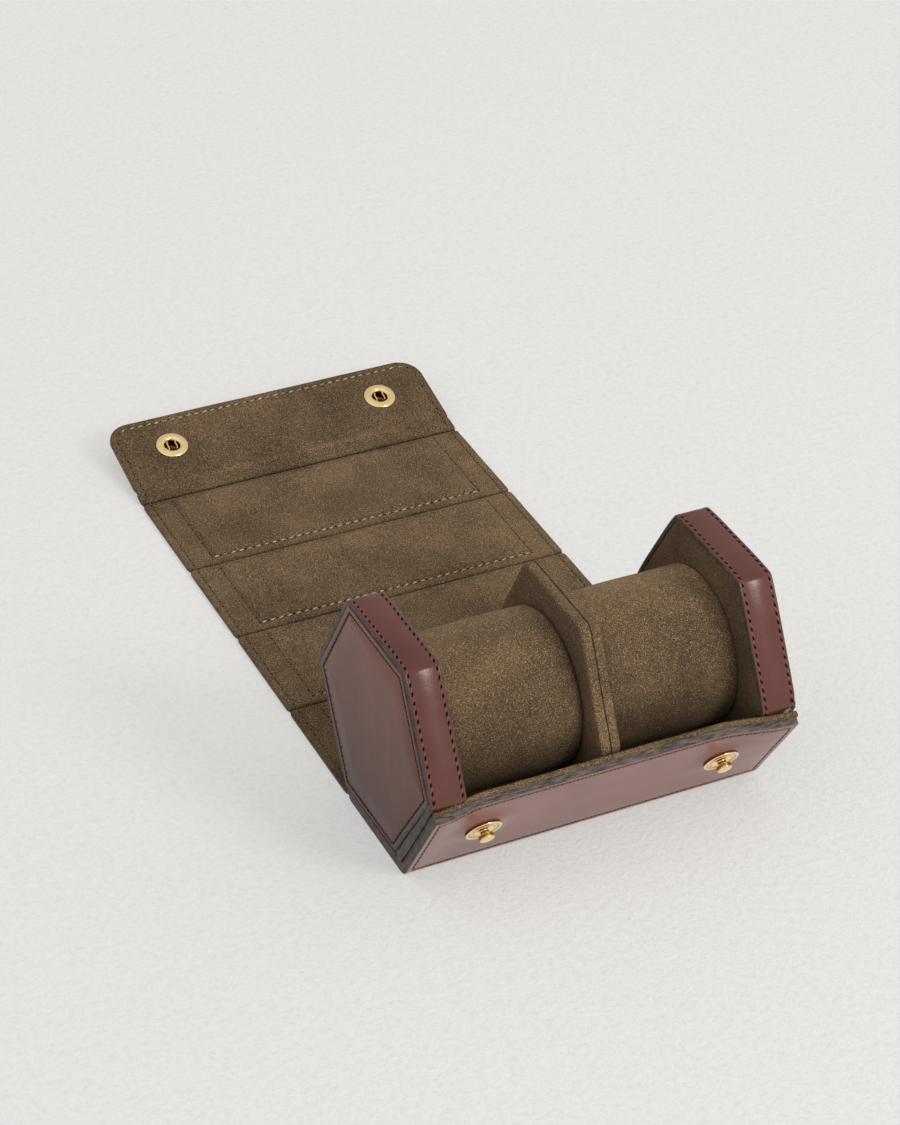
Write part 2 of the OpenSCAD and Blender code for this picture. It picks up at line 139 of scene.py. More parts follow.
def arc(x, y, size, first, last, steps=5, tall=None):
    """Points round (x, y) from one angle to another, on a circle or an ellipse."""
    angles = [math.radians(first + (last - first) * k / steps) for k in range(steps + 1)]
    return [(x + size * math.cos(a), y + (tall or size) * math.sin(a)) for a in angles]


print("soft step at a quarter:", smooth(0.25))

# %% [markdown]
# ## Node materials
# Every finish is built from noise, so it has detail at any distance. The patterns read
# an attribute named "rest", the place of each point while the case lies open: a
# pattern that read the moving surface would slide when the lid folds.

# %% Helpers for node materials


def plug(tree, node, **inputs):
    """Sets or links inputs of a node. _ stands for a space, and i2 for input number 2."""
    for key, value in inputs.items():
        socket = node.inputs[int(key[1:]) if key[1:].isdigit() else key.replace("_", " ")]
        if isinstance(value, bpy.types.NodeSocket):
            tree.links.new(value, socket)
        else:
            socket.default_value = value
    return node


def add(tree, kind, settings=None, **inputs):
    """A new node. Settings are its own properties, inputs go to plug()."""
    node = tree.nodes.new(kind)
    for key, value in (settings or {}).items():
        setattr(node, key, value)
    return plug(tree, node, **inputs)


def new_finish(name, **looks):
    """A material, its tree and its Principled shader, with some inputs set."""
    finish = bpy.data.materials.new(name)
    finish.use_nodes = True
    tree = finish.node_tree
    return finish, tree, plug(tree, tree.nodes["Principled BSDF"], **looks)


def attribute(tree, name, output="Fac"):
    return add(tree, "ShaderNodeAttribute", {"attribute_name": name}).outputs[output]


def place_of(tree, moving=True, stretch=None):
    """The coordinate that a pattern reads, in metres."""
    if moving:
        spot = attribute(tree, "rest", "Vector")
    else:
        spot = add(tree, "ShaderNodeTexCoord").outputs["Object"]
    if stretch:
        spot = add(tree, "ShaderNodeMapping", Vector=spot, Scale=stretch).outputs["Vector"]
    return spot


def speckle(tree, spot, scale, detail, rough):
    return add(tree, "ShaderNodeTexNoise", Vector=spot, Scale=scale, Detail=detail,
               Roughness=rough).outputs["Fac"]


def ramp(tree, value, stops, depth=1.0):
    """A colour ramp through stops of (place, colour), with all colours times a depth."""
    node = add(tree, "ShaderNodeValToRGB", Fac=value)
    marks = node.color_ramp.elements
    while len(marks) < len(stops):
        marks.new(0.5)
    for mark, (place, colour) in zip(marks, stops):
        mark.position = place
        mark.color = (*(part * depth for part in colour), 1)
    return node.outputs["Color"]


def spread(tree, value, low, high, to_low, to_high):
    """Maps one range of a value to another."""
    return add(tree, "ShaderNodeMapRange", Value=value, From_Min=low, From_Max=high,
               To_Min=to_low, To_Max=to_high).outputs["Result"]


def times_plus(tree, value, factor, more=0.0):
    return add(tree, "ShaderNodeMath", {"operation": "MULTIPLY_ADD"}, i0=value, i1=factor,
               i2=more).outputs[0]


def mixed(tree, amount, first, second, how="MIX"):
    """Two colours mixed. The second may be three plain numbers."""
    second = (*second, 1) if isinstance(second, tuple) else second
    return add(tree, "ShaderNodeMix", {"data_type": "RGBA", "blend_type": how}, Factor=amount,
               i6=first, i7=second).outputs[2]


def dimmed(tree, colour, level):
    """A colour times a grey level."""
    grey = add(tree, "ShaderNodeCombineColor", Red=level, Green=level, Blue=level)
    return mixed(tree, 1.0, colour, grey.outputs["Color"], "MULTIPLY")


def bumps(tree, shader, height, strength, distance):
    bump = add(tree, "ShaderNodeBump", Height=height, Strength=strength, Distance=distance)
    plug(tree, shader, Normal=bump.outputs["Normal"])


# %% [markdown]
# ### Burgundy leather
# Smooth bridle leather: one deep red-brown, slightly cloudy, with faint streaks from
# finishing and a very fine grain. At a low angle it mirrors the pale floor, which a
# plain Principled shader does through its own Fresnel. The front panel is the shiniest
# and has a thin coat; its paler base colour is partly painted reflection of the floor.
# The caps' faces are duller, with painted shade that darkens them towards the table
# and leaves them paler towards the top.

# %% Burgundy leather


def leather_finish(name, streak, depth, pale, rough, coat=0.0, gleam=0.36, painted_shade_fall=None,
                   worn=(0.19, 0.075, 0.052)):
    """Streaks run along the axis that is stretched least. The optional ramp by height is painted
    shade: darker towards the table, paler higher up.
    """
    finish, tree, shader = new_finish(name, Specular_IOR_Level=gleam, Coat_Weight=coat,
                                      Coat_Roughness=0.22)
    spot = place_of(tree)
    colour = ramp(tree, speckle(tree, spot, 45, 3, 0.6),
                  [(0.3, (0.100, 0.026, 0.019)), (0.7, (0.135, 0.038, 0.028))], depth)
    lines = speckle(tree, place_of(tree, stretch=streak), 1, 4, 0.65)
    colour = mixed(tree, spread(tree, lines, 0.3, 0.75, 0.0, pale), colour, worn)
    if painted_shade_fall:
        rise = add(tree, "ShaderNodeSeparateXYZ", Vector=spot).outputs["Z"]
        colour = dimmed(tree, colour, spread(tree, rise, 0.012, 0.085, *painted_shade_fall))
    plug(tree, shader, Base_Color=colour, Roughness=spread(tree, lines, 0.3, 0.7, *rough))
    grain = add(tree, "ShaderNodeTexVoronoi", {"feature": "SMOOTH_F1"}, Vector=spot, Scale=1500.0)
    broad = speckle(tree, spot, 260, 3, 0.55)
    bumps(tree, shader, times_plus(tree, broad, 3.0, grain.outputs["Distance"]), 0.16, 0.0001)
    return finish


leather = leather_finish("burgundy_leather", (60, 14, 14), 0.92, 0.22, (0.21, 0.31))
# The caps' faces get painted shade: darker towards the table, paler towards the top.
face_leather_painted_shade = leather_finish("face_leather_painted_shade", (90, 90, 12), 1.0, 0.5, (0.34, 0.46), gleam=0.2,
                              painted_shade_fall=(0.50, 1.32), worn=(0.145, 0.077, 0.050))
# The front panel's base colour is paler than the other leather's: partly its own colour, partly
# painted reflection of the pale floor.
front_leather_painted_reflection = leather_finish("front_leather_painted_reflection", (22, 95, 60), 1.55, 0.36, (0.26, 0.38),
                               coat=0.3, gleam=0.42)
print("leather:", leather.name, face_leather_painted_shade.name, front_leather_painted_reflection.name)

# %% [markdown]
# ### Suede
# Suede has a nap: short fibres that lie this way and that, so broad patches look
# lighter or darker. Two noises make the patches, a cell pattern scatters bright specks,
# painted glints of single fibre tips, and sheen gives the pale rim that nap has at
# grazing angles. A second attribute, "shade", multiplies the colour: mostly painted
# shade and painted highlights, dark creases and seams and pale lit edges, with a little
# random tone of the nap.

# %% Suede


def suede_finish(name, light, sparkle, fineness):
    finish, tree, shader = new_finish(
        name, Roughness=0.95, Specular_IOR_Level=0.1, Sheen_Weight=0.08, Sheen_Roughness=0.45,
        Sheen_Tint=(0.8, 0.6, 0.38, 1))
    spot = place_of(tree)
    colour = ramp(tree, speckle(tree, spot, 38, 4, 0.62),
                  [(0.34, (0.080, 0.052, 0.029)), (0.50, (0.110, 0.070, 0.038)),
                   (0.68, (0.146, 0.092, 0.051))], light)
    fibre = speckle(tree, spot, fineness, 3, 0.75)
    fibre_tone = ramp(tree, fibre, [(0.36, (0.24, 0.24, 0.24)), (0.5, (0.92, 0.92, 0.92)),
                                    (0.64, (2.3, 2.26, 2.16))])
    colour = mixed(tree, 1.0, colour, fibre_tone, "MULTIPLY")
    # Bright specks at random: painted glints of single fibre tips.
    tips = add(tree, "ShaderNodeTexVoronoi", Vector=spot, Scale=3900.0).outputs["Color"]
    tone = add(tree, "ShaderNodeSeparateColor", Color=tips).outputs["Red"]
    bright = ramp(tree, tone, [(0.88, (0, 0, 0)), (0.99, (sparkle, sparkle, sparkle))])
    colour = mixed(tree, bright, colour, (0.46, 0.36, 0.23))
    # The "shade" attribute multiplies the colour: painted shade and painted highlights, with some
    # random tone.
    plug(tree, shader, Base_Color=dimmed(tree, colour, attribute(tree, "shade")))
    bumps(tree, shader, fibre, 0.55, 0.00035)
    return finish


suede = suede_finish("suede", 1.0, 0.6, 2350)
cushion_suede = suede_finish("cushion_suede", 1.08, 0.8, 3000)
print("suede:", suede.name, cushion_suede.name)

# %% [markdown]
# ### Edges, thread and brass
# Cut edges are burnished and painted a warm black, worn pale along the lip. The thread
# is burgundy on leather and pale on suede. The suede thread comes in a lit and a shaded
# copy: painted light on the near row of each pocket and across the flap's end, painted
# shade on the other seams. Needle holes are near-black beads, painted shade in the holes.
# The snaps are polished brass, dark brown where "shade" is low: painted shade in the
# sockets' holes, where the rings meet the suede and under the studs' heads, and painted
# dark reflections round the heads.

# %% Edges, thread, brass


def speckled_finish(name, dark, pale, scale, rough, bump=0.3, moving=True, metal=0.0,
                    squeeze=None, gleam=0.5):
    """A finish of two tones of one colour in fine noise."""
    finish, tree, shader = new_finish(name, Roughness=rough, Metallic=metal,
                                      Specular_IOR_Level=gleam)
    tone = speckle(tree, place_of(tree, moving, squeeze), scale, 4, 0.6)
    plug(tree, shader, Base_Color=ramp(tree, tone, [(0.35, dark), (0.65, pale)]))
    bumps(tree, shader, tone, bump, 0.0002)
    return finish


edge_paint = speckled_finish("edge_paint", (0.044, 0.034, 0.030), (0.092, 0.074, 0.066), 300,
                             0.6, gleam=0.22)
lip_paint = speckled_finish("lip_paint", (0.022, 0.016, 0.014), (0.17, 0.134, 0.124), 2300,
                            0.55, 1.0, squeeze=(0.11, 1, 1), gleam=0.22)
red_thread = speckled_finish("red_thread", (0.085, 0.026, 0.022), (0.24, 0.095, 0.076), 2600,
                             0.45, gleam=0.3)
dark_thread = speckled_finish("dark_thread", (0.030, 0.010, 0.009), (0.085, 0.030, 0.025), 2600,
                              0.6, gleam=0.15)
# Lit and shaded copies of one suede thread: the dim one is painted shade for the seams, the pale
# one painted light for the near rows and the flap's end.
painted_shaded_thread = speckled_finish("painted_shaded_thread", (0.040, 0.027, 0.015), (0.13, 0.094, 0.056), 2600,
                              0.8)
painted_lit_thread = speckled_finish("painted_lit_thread", (0.30, 0.235, 0.14), (0.66, 0.55, 0.37), 330, 0.7)
# Needle holes are near-black beads: painted shade in the holes.
painted_hole_shade = speckled_finish("painted_hole_shade", (0.004, 0.002, 0.002), (0.012, 0.006, 0.005), 900,
                              0.9, gleam=0.05)
grey_board = speckled_finish("grey_board", (0.13, 0.12, 0.11), (0.24, 0.23, 0.21), 900, 0.9,
                             moving=False)
hidden_brass = speckled_finish("hidden_brass", (0.70, 0.47, 0.18), (0.84, 0.60, 0.26), 400, 0.3,
                               0.1, moving=False, metal=1.0)

brass, tree, shader = new_finish("brass", Roughness=0.21, Metallic=1.0)
tone = speckle(tree, place_of(tree), 320, 4, 0.6)
colour = ramp(tree, tone, [(0.35, (0.90, 0.66, 0.30)), (0.65, (0.96, 0.75, 0.40))])
# Where "shade" is low the brass turns dark brown: painted shade in hollows and under heads, and
# painted dark reflections.
shaded = ramp(tree, attribute(tree, "shade"), [(0.0, (0.05, 0.022, 0.008)),
                                             (0.5, (0.46, 0.34, 0.22)), (1.0, (1, 1, 1))])
plug(tree, shader, Base_Color=mixed(tree, 1.0, colour, shaded, "MULTIPLY"))
bumps(tree, shader, tone, 0.03, 0.0002)
print("finishes:", len(bpy.data.materials))

# %% [markdown]
# ## Finishing a piece
# A piece is modelled in a bmesh in millimetres. When it is done it is scaled to
# metres, gets its "rest" and "shade" attributes, rides on its body, and stands for the
# CAD nodes that it covers.

# %% Finish a piece


def new_object(name, data):
    thing = bpy.data.objects.new(name, data)
    bpy.context.scene.collection.objects.link(thing)
    return thing


def finish_piece(bm, name, finishes, body=None, covers=(), sharp_deg=50, shade=None):
    bmesh.ops.recalc_face_normals(bm, faces=bm.faces)
    tones = [shade(v.co) if shade else 1.0 for v in bm.verts]
    bmesh.ops.scale(bm, vec=(MM, MM, MM), verts=bm.verts)
    open_edges = sum(1 for e in bm.edges if not e.is_manifold)
    mesh = bpy.data.meshes.new(name)
    bm.to_mesh(mesh)
    bm.free()
    places = [0.0] * (3 * len(mesh.vertices))
    mesh.vertices.foreach_get("co", places)
    mesh.attributes.new("rest", "FLOAT_VECTOR", "POINT").data.foreach_set("vector", places)
    mesh.attributes.new("shade", "FLOAT", "POINT").data.foreach_set("value", tones)
    for polygon in mesh.polygons:
        polygon.use_smooth = True
    mesh.set_sharp_from_angle(angle=math.radians(sharp_deg))
    for finish in finishes:
        mesh.materials.append(finish)
    piece = new_object(name, mesh)
    if body:
        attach(piece, body)
    if covers:
        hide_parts(*covers)
    note = f", {open_edges} open edges" if open_edges else ""
    print(f"{name}: {len(mesh.polygons)} faces{note}")
    return piece


# %% [markdown]
# ## Cutting and rounding
# A few bmesh steps come back often: cuts with parallel planes, bevels along the sharp
# edges, and giving faces their finish.

# %% Cutting and rounding


def ladder(low, high, step, spots, fine, reach):
    """Places from low to high, a step apart, and closer together near the spots."""
    count = max(1, round((high - low) / step))
    marks = {low + (high - low) * i / count for i in range(count + 1)}
    marks |= {spot - reach + k * fine for spot in spots for k in range(round(2 * reach / fine) + 1)}
    kept = [low]
    for mark in sorted(marks):
        if mark - kept[-1] > 0.12 and high - mark > 0.12:
            kept.append(mark)
    return kept + [high]


def cut_across(bm, spots, direction):
    """Cuts the whole mesh with parallel planes through the given places."""
    for spot in spots:
        bmesh.ops.bisect_plane(bm, geom=bm.verts[:] + bm.edges[:] + bm.faces[:],
                               plane_co=spot, plane_no=direction)


def round_edges(bm, edges, size, steps):
    bmesh.ops.bevel(bm, geom=edges, offset=size, offset_type="OFFSET", affect="EDGES",
                    segments=steps, profile=0.5, material=-1, clamp_overlap=True)


def sharp_edges(bm, degrees):
    return [e for e in bm.edges if len(e.link_faces) == 2
            and e.calc_face_angle(0) > math.radians(degrees)]


def paint(bm, pick):
    """Gives each face the finish whose number pick(face, its middle) tells."""
    bmesh.ops.recalc_face_normals(bm, faces=bm.faces)
    for face in bm.faces:
        face.material_index = int(pick(face, face.calc_center_median()))


print("rows of a 10 mm stretch:", len(ladder(0, 10, 2.0, [5], 0.4, 1.2)))

# %% [markdown]
# ## Stitches
# A saddle stitch is a short thread between two needle holes. Each one is a small
# stretched sphere laid along the seam. Thread and hole slant together, and a noise
# varies their slant and length a little, as a hand does.

# %% Stitches

bead = bmesh.new()
bmesh.ops.create_uvsphere(bead, u_segments=6, v_segments=4, radius=1)
bead_points = [v.co.copy() for v in bead.verts]
bead_faces = [[v.index for v in f.verts] for f in bead.faces]
bead.free()


def place_bead(bm, spot, along, side, out, index):
    """One copy of the small sphere, stretched along three directions."""
    new = [bm.verts.new(spot + along * p.x + side * p.y + out * p.z) for p in bead_points]
    for corners in bead_faces:
        bm.faces.new([new[i] for i in corners]).material_index = index


def sew(bm, path, thread, hole, pitch=3.5, size=(2.3, 0.5, 0.24), slant=7.0,
        hole_size=(0.9, 0.55, 0.14)):
    """Stitches along a path of (place, outward) pairs. Sizes are long, wide, high."""
    reach = [0.0]
    for (a, _), (b, _) in zip(path, path[1:]):
        reach.append(reach[-1] + (b - a).length)
    count = max(1, round(reach[-1] / pitch))
    seg = 0
    for i in range(2 * count):
        s = i / 2 * reach[-1] / count
        while seg < len(reach) - 2 and reach[seg + 1] < s:
            seg += 1
        (a, na), (b, nb) = path[seg], path[seg + 1]
        t = (s - reach[seg]) / max(reach[seg + 1] - reach[seg], 1e-6)
        out = na.lerp(nb, t).normalized()
        along = (b - a - out * (b - a).dot(out)).normalized()
        spot = a.lerp(b, t)
        chance = noise.noise(spot * 0.83)
        along.rotate(Matrix.Rotation(math.radians(slant + 14 * chance), 3, out))
        index, (long, wide, high), vary, lift = ((thread, size, 0.25, 0.04) if i % 2 else
                                                 (hole, hole_size, 0.4, 0.0))
        place_bead(bm, spot + out * lift, along * long * (1 + vary * chance) / 2,
                   out.cross(along) * wide / 2, out * high / 2, index)


print("faces of a stitch:", len(bead_faces))

# %% [markdown]
# ## The hexagon
# All cap pieces share one outline: a hexagon on its flat side, with small rounded
# corners. A cap piece is a stack of such outlines, each at its own place along X and its
# own offset, and bridge_loops spans the faces from one to the next. So a rounded edge or
# a seam's furrow is only a few more outlines in the stack.

# %% The hexagon's outline



def six_corners(wide, top, tall):
    """Corners (y, z) of a hexagon that lies on its flat side, from the back, upwards."""
    return [Vector(p) for p in ((wide, 0), (top, tall), (-top, tall),
                                (-wide, 0), (-top, -tall), (top, -tall))]


HEXAGON = six_corners(slant_a / COS30, (slant_a - top_a / 2) / COS30, top_a)


def rounded(corners, offset, radius, steps=6, slump=0.0, reach=11.0):
    """Points and outward directions (y, z) round an outline, moved out and rounded.

    With a slump, a side falls away by so much over its last millimetres at each corner.
    """
    points = []
    tilt = 2 * slump / reach
    for i, here in enumerate(corners):
        a = (here - corners[i - 1]).normalized()
        b = (corners[(i + 1) % len(corners)] - here).normalized()
        turn = a.angle(b)
        centre = here + (b - a).normalized() * (radius - offset + slump) / math.cos(turn / 2)
        bend = []
        for k in range(steps + 1):
            ray = Vector((a.y, -a.x))
            ray.rotate(Matrix.Rotation(tilt + (turn - 2 * tilt) * k / steps, 2))
            bend.append((centre + ray * radius, ray))
        before, after = [], []
        for share in (1.0, 0.8, 0.6, 0.4, 0.2) if slump else ():
            drop = radius + slump - (1 - share) ** 2 * slump
            for side, way, shoulder in ((a, -1, before), (b, 1, after)):
                out = Vector((side.y, -side.x))
                foot = centre + out * drop + side * way * (share * reach)
                out.rotate(Matrix.Rotation(-way * tilt * (1 - share), 2))
                shoulder.append((foot, out))
        points += before + bend + after[::-1]
    return points


def stack(bm, corners, centre, profile, radius, closed=False, slump=0.0):
    """Spans outlines, given as (x, offset) pairs, with faces."""
    loops = []
    for x, offset in profile:
        spots = [p for p, _ in rounded(corners, offset, max(radius + offset, 0.3), slump=slump)]
        ring = [bm.verts.new((x, p.x, centre + p.y)) for p in spots]
        loops.append([bm.edges.new((ring[i - 1], ring[i])) for i in range(len(ring))])
    for first, second in zip(loops, loops[1:] + (loops[:1] if closed else [])):
        bmesh.ops.bridge_loops(bm, edges=first + second)
    if not closed:
        for loop in (loops[0], loops[-1]):
            bmesh.ops.contextual_create(bm, geom=loop)
    bmesh.ops.recalc_face_normals(bm, faces=bm.faces)


def hexagon_path(x, offset, radius, outward=None, lift=0.0, slump=0.0):
    """A closed seam round the hexagon at x. It faces outward, or away from the axis."""
    path = []
    for point, ray in rounded(HEXAGON, offset, radius, 4, slump):
        out = Vector(outward) if outward else Vector((0, ray.x, ray.y))
        path.append((Vector((x, point.x, mid_z + point.y)) + out * lift, out))
    return path + [path[0]]


print("hexagon corners:", [tuple(round(c, 1) for c in corner) for corner in HEXAGON])

# %% [markdown]
# ## End caps
# A cap is a board wrapped by a strip of leather, with a leather face outside and suede
# inside. The strip is a closed ring: its stack runs over the outside, with rounded
# edges and two furrows for the seams, and comes back along the inside. Its two
# painted edges are the faces that look along the case.

# %% End caps: the leather strip

SLUMP = 0.42                      # a side's leather falls away towards the corners


def wrapped(co):
    """How far out a point lies on the two sides of the hexagon that the wrap covers."""
    return max(front_depth(co), mid_z - top_a - co.z)


def way_down(co):
    """0 at the top of the lower front side, 1 at its bottom."""
    return min(max((corner_s - front_s(co)) / (2 * corner_s), 0), 1)


def cap_strip(side, name):
    low, high = cad_box(f"{name}_cap_rim")
    seam, dip = 1.35, 0.14
    near = [(0, -STRIP_T + 0.12), (0, -0.45), (0.12, -0.14), (0.45, 0), (seam - 0.5, 0),
            (seam - 0.2, -dip), (seam + 0.2, -dip), (seam + 0.6, 0.04)]
    outside = [(low.x + x, o) for x, o in near] + [(high.x - x, o) for x, o in near[::-1]]
    inside = [(high.x - 0.12, -STRIP_T), (low.x + 0.12, -STRIP_T)]
    bm = bmesh.new()
    stack(bm, HEXAGON, mid_z, outside + inside, CORNER_R, closed=True, slump=SLUMP)
    end = low.x if side < 0 else high.x
    for v in bm.verts:            # the strip is thicker where it meets the front panel
        depth, gap, on_wrap = front_depth(v.co), abs(v.co.x - end), wrapped(v.co) > -0.6
        if gap < 2 and -2.6 < depth < -1.2:
            v.co -= FRONT_OUT * (0.8 + 0.9 * way_down(v.co))
        if gap < 0.5 and on_wrap:
            v.co.x = end
            v.co += FRONT_OUT * (0.12 if depth > -0.6 else 0)
    paint(bm, lambda face, spot: abs(face.normal.x) > 0.5 or
          (wrapped(spot) > -0.6 and abs(spot.x - end) < 0.9))
    for x in (low.x + seam, high.x - seam):
        sew(bm, hexagon_path(x, -dip + 0.04, CORNER_R, slump=SLUMP), 2, 3, 3.1,
            (2.0, 0.75, 0.5), side * 24, (1.9, 0.85, 0.45))
    finish_piece(bm, f"{name}_cap_strip", [leather, edge_paint, red_thread, painted_hole_shade],
                 "case", [f"{name}_cap_rim"], 60)


for side, name in SIDES:
    cap_strip(side, name)

# %% [markdown]
# The face is a plate of leather, glued on just inside the strip, with a seam 2.4 mm
# inside its edge. Along the lower front side it stands back from the strip, more so
# towards the table, and its edge there is painted. Cuts across that side let it bend.

# %% End caps: the leather face


def pulled_in(co):
    """How far the face stands back from the strip along the lower front side."""
    t = way_down(co)
    return 0.6 + 0.9 * t + 0.8 * smooth(1.2 * t)


def face_seam(x, offset, side):
    """The face's seam, moved in with the panel along the lower front side."""
    moved = []
    path = hexagon_path(x, offset, 0.3, (side, 0, 0), -0.03)
    for k in range(12 * (len(path) - 1)):
        (a, out), (b, _) = path[k // 12], path[k // 12 + 1]
        spot = a.lerp(b, k % 12 / 12)
        if front_depth(spot) > offset - 0.5:
            spot -= FRONT_OUT * pulled_in(spot)
        moved.append((spot, out))
    return moved + [moved[0]]


def cap_face(side, name):
    inner, outer = in_and_out(side, f"{name}_cap_face")
    edge = -STRIP_T - 0.35
    profile = [(inner, edge)] + [(outer - side * x, edge - o) for x, o in (
        (0.4, 0), (0.12, 0.12), (0, 0.4), (0, 0.95), (0, 1.9), (0.14, 2.25), (0.14, 2.6),
        (0, 2.95), (0, 12))]
    bm = bmesh.new()
    stack(bm, HEXAGON, mid_z, profile, CORE_R - edge)
    length = 2 * (slant_a + edge) / math.sqrt(3)
    cut_across(bm, [AXIS + FRONT_UP * (corner_s - length * k / 12) for k in range(1, 12)], FRONT_UP)
    for v in bm.verts:
        if front_depth(v.co) > edge - 3.2:
            v.co -= FRONT_OUT * pulled_in(v.co)
    paint(bm, lambda face, spot: face.normal.x * side < 0.5 or
          edge - front_depth(spot) - pulled_in(spot) < 0.75)
    sew(bm, face_seam(outer, edge - 2.42, side), 2, 3, 3.1, (2.1, 0.8, 0.44), 12,
        (1.4, 0.85, 0.3))
    finish_piece(bm, f"{name}_cap_panel", [face_leather_painted_shade, edge_paint, dark_thread, painted_hole_shade],
                 "case", [f"{name}_cap_face"], 60)


for side, name in SIDES:
    cap_face(side, name)

# %% [markdown]
# The suede inside a cap is a thin plate that swells a little towards the middle,
# because it is pulled over the board's edge and glued at its rim.

# %% End caps: the suede inside


def cap_suede(side, name):
    inner, outer = in_and_out(side, f"{name}_cap_lining")
    edge = -STRIP_T - 0.02
    swell = [(0.0, 0.0), (0.3, 0.25), (0.42, 0.8), (0.5, 2.0), (0.55, 5.0), (0.6, 14.0)]
    profile = [(outer, edge)] + [(inner - side * x, edge - o) for x, o in swell]
    bm = bmesh.new()
    stack(bm, HEXAGON, mid_z, profile, CORE_R - edge)
    # The lining is dimmed to 0.76 all over: painted shade inside the case.
    finish_piece(bm, f"{name}_cap_suede", [suede], "case", [f"{name}_cap_lining"],
                 80, lambda co: 0.76)


for side, name in SIDES:
    cap_suede(side, name)

# %% [markdown]
# ## Base and front panel
# The wrap is three layers: leather outside, board in the middle, suede inside. A layer
# is drawn as one section (y, z) across the case and pushed out along it.

# %% Base and front panel: section

FOLD_R = 1.0                      # inside radius of the fold under the front panel
LIP_DROP = 2.4                    # the lip ends so far below the caps' front corner
fold_y = -(slant_a - FOLD_R - (top_a - FOLD_R) / 2) / COS30
fold_z = WRAP_T + FOLD_R
fold_s = Vector((0, fold_y, fold_z - mid_z)).dot(FRONT_UP)
lip_s = corner_s - LIP_DROP


def front_spot(s, depth, x=0.0):
    """The place on the front panel: s up its slope, depth outwards from its inside."""
    spot = FRONT_UP * s + FRONT_OUT * (slant_a + depth)
    return Vector((x, spot.y, mid_z + spot.z))


def base_back_y(z):
    return (slant_a + 0.25 + (z - mid_z) / 2) / COS30 - 0.2


def inside_line(depth, back_y, top_s, rows=14):
    """From the back of the base, round the fold and up the front panel at a depth."""
    flat = [(back_y + (fold_y - back_y) * k / 12, WRAP_T - depth) for k in range(13)]
    bend = arc(fold_y, fold_z, FOLD_R + depth, -90, -150, 8)[1:-1]
    rise = [front_spot(fold_s + (top_s - fold_s) * k / rows, depth).yz for k in range(rows + 1)]
    return flat + bend + rise


def wrap_layer(outline):
    """Pushes a closed section out over the wrap's width, cut into columns."""
    bm = bmesh.new()
    face = bm.faces.new([bm.verts.new((-wrap_half, y, z)) for y, z in outline])
    made = bmesh.ops.extrude_face_region(bm, geom=[face])["geom"]
    moved = [g for g in made if isinstance(g, bmesh.types.BMVert)]
    bmesh.ops.translate(bm, vec=(2 * wrap_half, 0, 0), verts=moved)
    bmesh.ops.recalc_face_normals(bm, faces=bm.faces)
    columns = ladder(-wrap_half, wrap_half, 3.0, (-wrap_half + 2, wrap_half - 2), 0.5, 1.0)
    cut_across(bm, [(x, 0, 0) for x in columns[1:-1]], (1, 0, 0))
    bmesh.ops.recalc_face_normals(bm, faces=bm.faces)
    return bm


def end_edges(bm):
    """The sharp edges round both ends of a layer."""
    return [e for e in sharp_edges(bm, 60)
            if all(abs(abs(v.co.x) - wrap_half) < 0.01 for v in e.verts)]


print(f"front panel {lip_s - fold_s:.1f} mm high")

# %% [markdown]
# The front panel is not quite flat on the real case: between the caps it leans in a
# little, its right end flares out, and it stays flat round the snaps. So its points are
# leaned afterwards, all layers alike, in proportion to their height above the fold.

# %% Base and front panel: lean

SNAP_R = 6.7
SNAP_X = cad_box("studs")[1].x - SNAP_R
snap_s = corner_s - 23.5
LEAN = 2.3                        # inwards at the lip, between the caps
FLARE = 3.8                       # outwards at the lip's right end


def leaned(co):
    """Where a point of the front panel comes to lie."""
    s = front_s(co)
    if front_depth(co) < -2.5 or s < fold_s:
        return co
    share = min(1.15, (s - fold_s) / (lip_s - fold_s))
    amount = share * (LEAN * smooth((co.x + 66) / 16) - 0.15 * smooth((-co.x - 58) / 10))
    amount -= min(share, 0.93) * FLARE * smooth((co.x - 38) / 32)
    for x in (-SNAP_X, SNAP_X):
        amount *= 1 - math.exp(-(math.hypot(co.x - x, s - snap_s) / 8.5) ** 4)
    return co - FRONT_OUT * amount


def lean_all(bm):
    """Leans a layer. Its right end also stands up a little at the lip."""
    for v in bm.verts:
        puff = 0.5 * smooth((v.co.x - 52) / 16) * smooth((front_s(v.co) - lip_s + 3.5) / 3)
        v.co = leaned(v.co + FRONT_UP * puff)


print(f"snaps at +-{SNAP_X:.1f} mm")

# %% [markdown]
# The leather is one sheet from the lip to the first crease. A seam runs round the front
# panel in a shallow furrow: 3 to 4 mm below the lip, 2 mm inside the sides and 1 mm
# above the fold.

# %% Base and front panel: leather

CUT = math.tan(math.radians(20))  # the lip's edge is cut at this slant
LIP_SEAM, SIDE_SEAM, FOLD_SEAM = 3.0, 2.0, 1.1
STRIP_HALF = 2.6                  # a crease strip reaches this far to both sides
base_back = crease["base_crease"].y - STRIP_HALF


def seam_depth(x, s):
    """Furrow depth of the front panel's seam."""
    low_s, high_s = fold_s + FOLD_SEAM, lip_s - LIP_SEAM
    gaps = []
    if low_s - 0.5 < s < high_s + 0.5:
        gaps.append(wrap_half - SIDE_SEAM - abs(x))
    if abs(x) < wrap_half - SIDE_SEAM + 0.5:
        gaps += [s - low_s, high_s - s]
    return 0.16 * max([bell(gap, 0.45) for gap in gaps], default=0.0)


def on_outside(co):
    if front_s(co) > fold_s:
        return front_depth(co) > WRAP_T - 0.1
    return co.z < 0.2 or math.hypot(co.y - fold_y, co.z - fold_z) > FOLD_R + WRAP_T - 0.1


